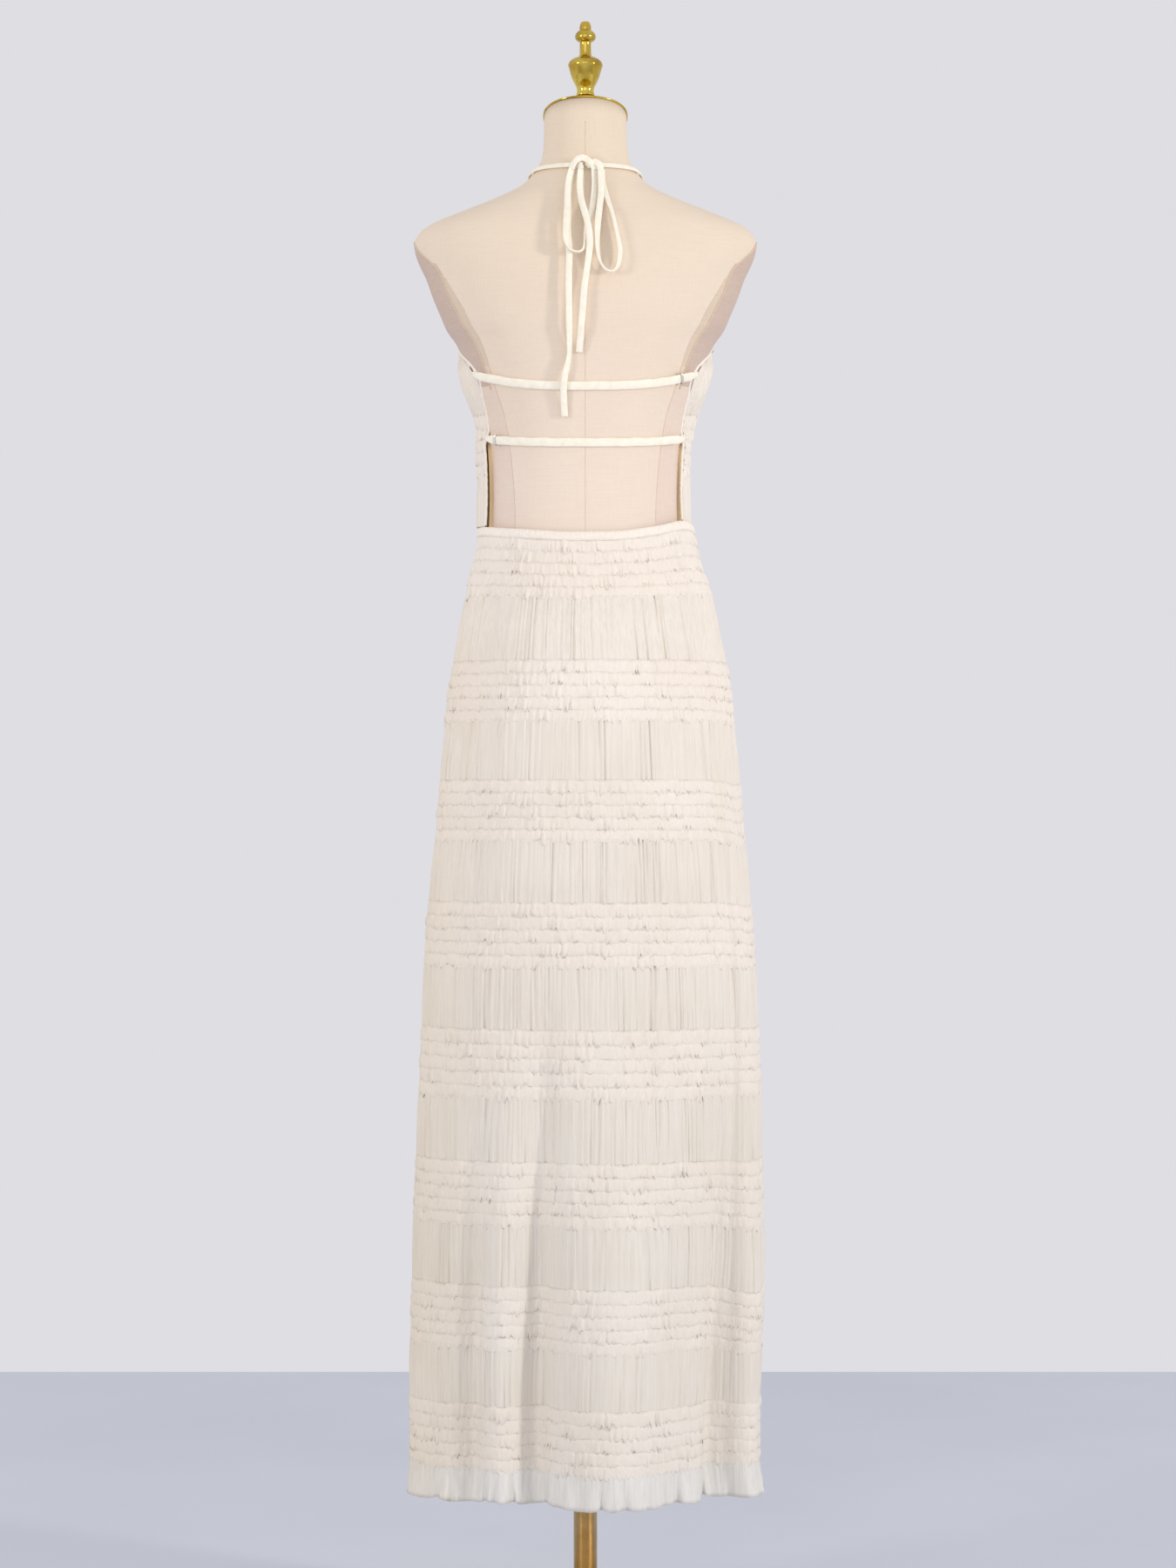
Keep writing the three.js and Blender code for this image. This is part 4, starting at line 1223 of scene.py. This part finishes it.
def waist_binding(rng):
    """The narrow turned band at the waist, lightly puckered by its stitching."""
    low, high = WAISTBAND
    angles, shares, _ = even_angles(skirt_point, (low + high) / 2, BAND_COLUMNS)
    pucker = uneven_wave(rng, 120)(shares)
    lean = uneven_wave(rng, 11)(shares)
    heights, outs = [], []
    for t in np.linspace(0, 1, 5):
        round_off = 1.5 * math.sin(math.pi * t) ** 0.7
        heights.append(high - (high - low + 2.6) * t + 0.35 * lean + 0.15 * pucker)
        outs.append(0.2 + round_off + 0.7 * t + 0.22 * pucker)
    grid = cloth_layer(skirt_point, angles, heights, outs)
    mesh_object("waist_binding", "waistband", *closed_sweep(grid, True), BINDING_LOOK, "self_binding")


# The hem's flounce: lobes of sheer chiffon parted by narrow folds.
FLOUNCE_FOLDS = 31
FLOUNCE_FLARE = 4
FLOUNCE_LOBE = 3.2
FLOUNCE_VALLEY = 8.5
FLOUNCE_BEHIND = 3


def hem_flounce(rng):
    low, high = FLOUNCE
    angles, shares, around = even_angles(skirt_point, low, FLOUNCE_COLUMNS)
    gaps = rng.gamma(5, 1, FLOUNCE_FOLDS)
    folds = np.cumsum(gaps) / gaps.sum()
    depths = rng.uniform(0.35, 1, FLOUNCE_FOLDS)
    widths = rng.uniform(0.0022, 0.0052, FLOUNCE_FOLDS)
    valley, rim = np.zeros(len(shares)), np.zeros(len(shares))
    for place, depth, width in zip(folds, depths, widths):
        away = np.abs(shares - place)
        away = np.minimum(away, 1 - away)
        valley += depth * np.exp(-(away / width) ** 2)
        rim += depth * np.exp(-(away / (2.2 * width)) ** 2)
    ripple = uneven_wave(rng, 90, smallest=0.1)(shares)
    lobes = uneven_wave(rng, FLOUNCE_FOLDS, smallest=0.4)(shares)
    gather = uneven_wave(rng, 210, smallest=0.1, evenness=2.5)(shares)
    heights, outs = [], []
    start = high + FLOUNCE_BEHIND
    swing = FLOUNCE_LOBE * lobes + 0.5 * ripple - FLOUNCE_VALLEY * valley
    for t in np.linspace(0, 1, 8):
        heights.append(start - (start - low) * t + t ** 2 * (3.2 * rim + 0.8 * lobes - 1.2))
        outs.append(0.4 + FLOUNCE_FLARE * t + swing * t ** 1.3 + 0.7 * gather * (1 - t))
    grid = cloth_layer(skirt_point, angles, heights, outs)
    piece = mesh_object("hem_ruffle", "hem_flounce", *closed_sweep(grid, True),
                        FLOUNCE_LOOK, "flounce_chiffon")


def bodice(rng):
    for node, bottom, top, kind in BODICE_PIECES:
        middle = (bottom + top) / 2
        span = float(bodice_edge(middle))
        angles, shares, around = even_angles(bodice_point, middle, BODICE_COLUMNS[kind], span)
        cloth = (node, rng, bodice_place, angles / span, shares * 0.99, False)
        if kind == "band":
            frills(node.replace("band", "ruffles"), *cloth, bottom, top, around)
            continue
        bottom = max(bottom - TIER_UNDER, BODICE_BOTTOM)
        top = top + TIER_BEHIND if top < BODICE_TOP else top
        gathers(node.replace("tier", "gathers"), *cloth, bottom, top, around)


# The metal parts: turned profiles as radius and height.
FINIAL_PROFILE = [
    (0.2, 1690.9),
    (9.8, 1690.9),
    (9.8, 1693.2),
    (9.2, 1695.4),
    (9.4, 1698),
    (10.2, 1700.6),
    (12.7, 1705.4),
    (15.3, 1711.6),
    (17.3, 1718.4),
    (18.4, 1722.2),
    (18.9, 1723.6),
    (18.7, 1725.4),
    (17.2, 1728.4),
    (13.6, 1731.2),
    (9, 1733),
    (7.2, 1734.6),
    (6.4, 1737),
    (6.3, 1748.8),
    (8.8, 1750.4),
    (10.8, 1752.6),
    (11.4, 1755.4),
    (10.6, 1758.4),
    (8.6, 1760.8),
    (6.5, 1762.4),
    (6.4, 1765.4),
    (5.7, 1768.8),
    (4.2, 1771.4),
    (0.2, 1772.3),
]
PROFILE_SLACK = 0.6
LEAST_RADIUS = 0.2
# The neck disc: its rim as out and rise from the neck's edge, its middle as radius and rise on the
# same slope, and its boss as radius and height.
DISC_RIM = [(0.2, 0.3), (0.8, 0.3), (1.2, 0.6), (1.3, 1.3), (1.2, 1.9), (0.8, 2.3), (0, 2.4), (-1, 2.4)]
DISC_MIDDLE = [(24, 3), (13, 3.8), (10.8, 5), (10, 6.4)]
DISC_BOSS = [(10, 1689.4), (9.4, 1690.2), (8.8, 1690.4)]
POLE_PROFILE = [(12.4, 22.3), (12.8, 22.7), (12.8, 444), (12.8, 887.6), (12.4, 888)]
COLLAR_PROFILE = [
    (13.1, 862),
    (19, 862),
    (20, 863),
    (20, 888.3),
    (45, 892.3),
    (46, 893.3),
    (46, 899.2),
    (45.4, 899.7),
    (13.1, 899.7),
]
BASE_PROFILE = [
    (0.2, 0),
    (168, 0),
    (169.6, 0.8),
    (170, 2),
    (170, 7.4),
    (169, 8.8),
    (164, 11),
    (110, 12.9),
    (44, 15),
    (34, 17.5),
    (28, 20.5),
    (26, 22),
    (13.2, 22),
    (0.2, 22),
]


def circle(turn, radius, height, slope=0.0):
    """A ring of points round the axis, higher towards the back where it slopes."""
    x, y = radius * np.sin(turn), -radius * np.cos(turn)
    return np.stack([x, y, height + y * slope], -1)


def turned(name, node, profile, look, slot, segments=72):
    """A solid turned from a profile of radius and height."""
    turn = np.arange(segments) / segments * TURN
    rings = [circle(turn, radius, height) for radius, height in profile]
    mesh_object(name, node, rings, closed_tube(len(rings), segments), look, slot)


def rounded(profile, per_span=4):
    """A profile with more points on a smooth line through its own."""
    profile = np.array(profile, float)
    padded = np.concatenate([profile[:1], profile, profile[-1:]])
    fine = []
    for a, b, c, d in zip(padded, padded[1:], padded[2:], padded[3:]):
        t = np.linspace(0, 1, per_span, endpoint=False)[:, None]
        leave, arrive = PROFILE_SLACK * (c - a), PROFILE_SLACK * (d - b)
        fine.append(b + 0.5 * (leave * t + (6 * (c - b) - 2 * leave - arrive) * t ** 2
                               + (leave + arrive - 4 * (c - b)) * t ** 3))
    return np.maximum(np.concatenate(fine + [profile[-1:]]), [LEAST_RADIUS, 0])


def neck_disc():
    """The sloping brass disc on the neck, with a rolled rim and a boss for the finial."""
    turn = np.arange(96) / 96 * TURN
    rings = []
    for out, rise in DISC_RIM:
        ring = form_point(turn, float(FORM_TOP), out)
        ring[:, 2] = FORM_TOP + rise + ring[:, 1] * NECK_SLOPE
        rings.append(ring)
    rings.extend(circle(turn, radius, FORM_TOP + rise, NECK_SLOPE) for radius, rise in DISC_MIDDLE)
    rings.extend(circle(turn, radius, height) for radius, height in DISC_BOSS)
    faces = closed_tube(len(rings), len(turn))
    mesh_object("neck_disc", "neck_cap", rings, faces, BRASS, "brass")


def stand():
    neck_disc()
    turned("neck_finial", "finial", rounded(FINIAL_PROFILE), BRASS, "brass")
    turned("pole_tube", "stand_pole", POLE_PROFILE, BRONZE, "bronze")
    turned("collar", "pole_collar", COLLAR_PROFILE, BRONZE, "bronze")
    turned("base_disc", "stand_base", BASE_PROFILE, BRONZE, "bronze", segments=128)


rng = np.random.default_rng(11)
form_body()
form_seams()
for side in HANDS:
    neck_strap(side)
for row in BACK_STRAPS:
    back_strap(row, rng)
for row in BACK_STRAPS:
    strap_ring(row)
for side in HANDS:
    side_binding(side, rng)
neck_binding()
waist_binding(rng)
skirt(rng)
hem_flounce(rng)
bodice(rng)
stand()


# Stage: a pale floor that ends where the photograph's wall begins, and soft studio light.
FLOOR_FAR = -1.88
FLOOR_NEAR = 7.0
FLOOR_HALF = 4.5


def make_floor():
    mesh = bpy.data.meshes.new("floor")
    corners = [(-FLOOR_HALF, FLOOR_FAR, 0), (FLOOR_HALF, FLOOR_FAR, 0),
               (FLOOR_HALF, FLOOR_NEAR, 0), (-FLOOR_HALF, FLOOR_NEAR, 0)]
    mesh.from_pydata(corners, [], [(0, 1, 2, 3)])
    floor = bpy.data.objects.new("floor", mesh)
    bpy.context.scene.collection.objects.link(floor)
    look = Look("floor")
    look.set(Roughness=0.7, Specular_IOR_Level=0.2)
    look.colour(look.ramp(look.noise(1.3, detail=3), srgb(205, 209, 219), srgb(210, 214, 223)))
    mesh.materials.append(look.material)


def area_light(name, place, target, size, energy, colour):
    data = bpy.data.lights.new(name, "AREA")
    data.shape = "DISK"
    data.size = size
    data.energy = energy
    data.color = colour
    light = bpy.data.objects.new(name, data)
    light.location = place
    aim = Vector(target) - Vector(place)
    light.rotation_euler = aim.to_track_quat("-Z", "Y").to_euler()
    bpy.context.scene.collection.objects.link(light)


def make_world():
    world = bpy.data.worlds.new("studio")
    world.use_nodes = True
    background = world.node_tree.nodes["Background"]
    background.inputs["Color"].default_value = srgb(223, 222, 227)
    background.inputs["Strength"].default_value = 1.0
    bpy.context.scene.world = world
    bpy.context.scene.view_settings.view_transform = "Standard"


make_floor()
make_world()
area_light("key", (-3.9, 2.4, 1.75), (0, 0, 1.35), 0.45, 76, (1.0, 0.96, 0.9))
area_light("fill", (3.4, 2.8, 1.7), (0, 0, 1.1), 1.0, 42, (1.0, 0.95, 0.88))
area_light("front", (0.4, 4.8, 1.9), (0, 0, 1.3), 3.6, 20, (1.0, 0.98, 0.94))
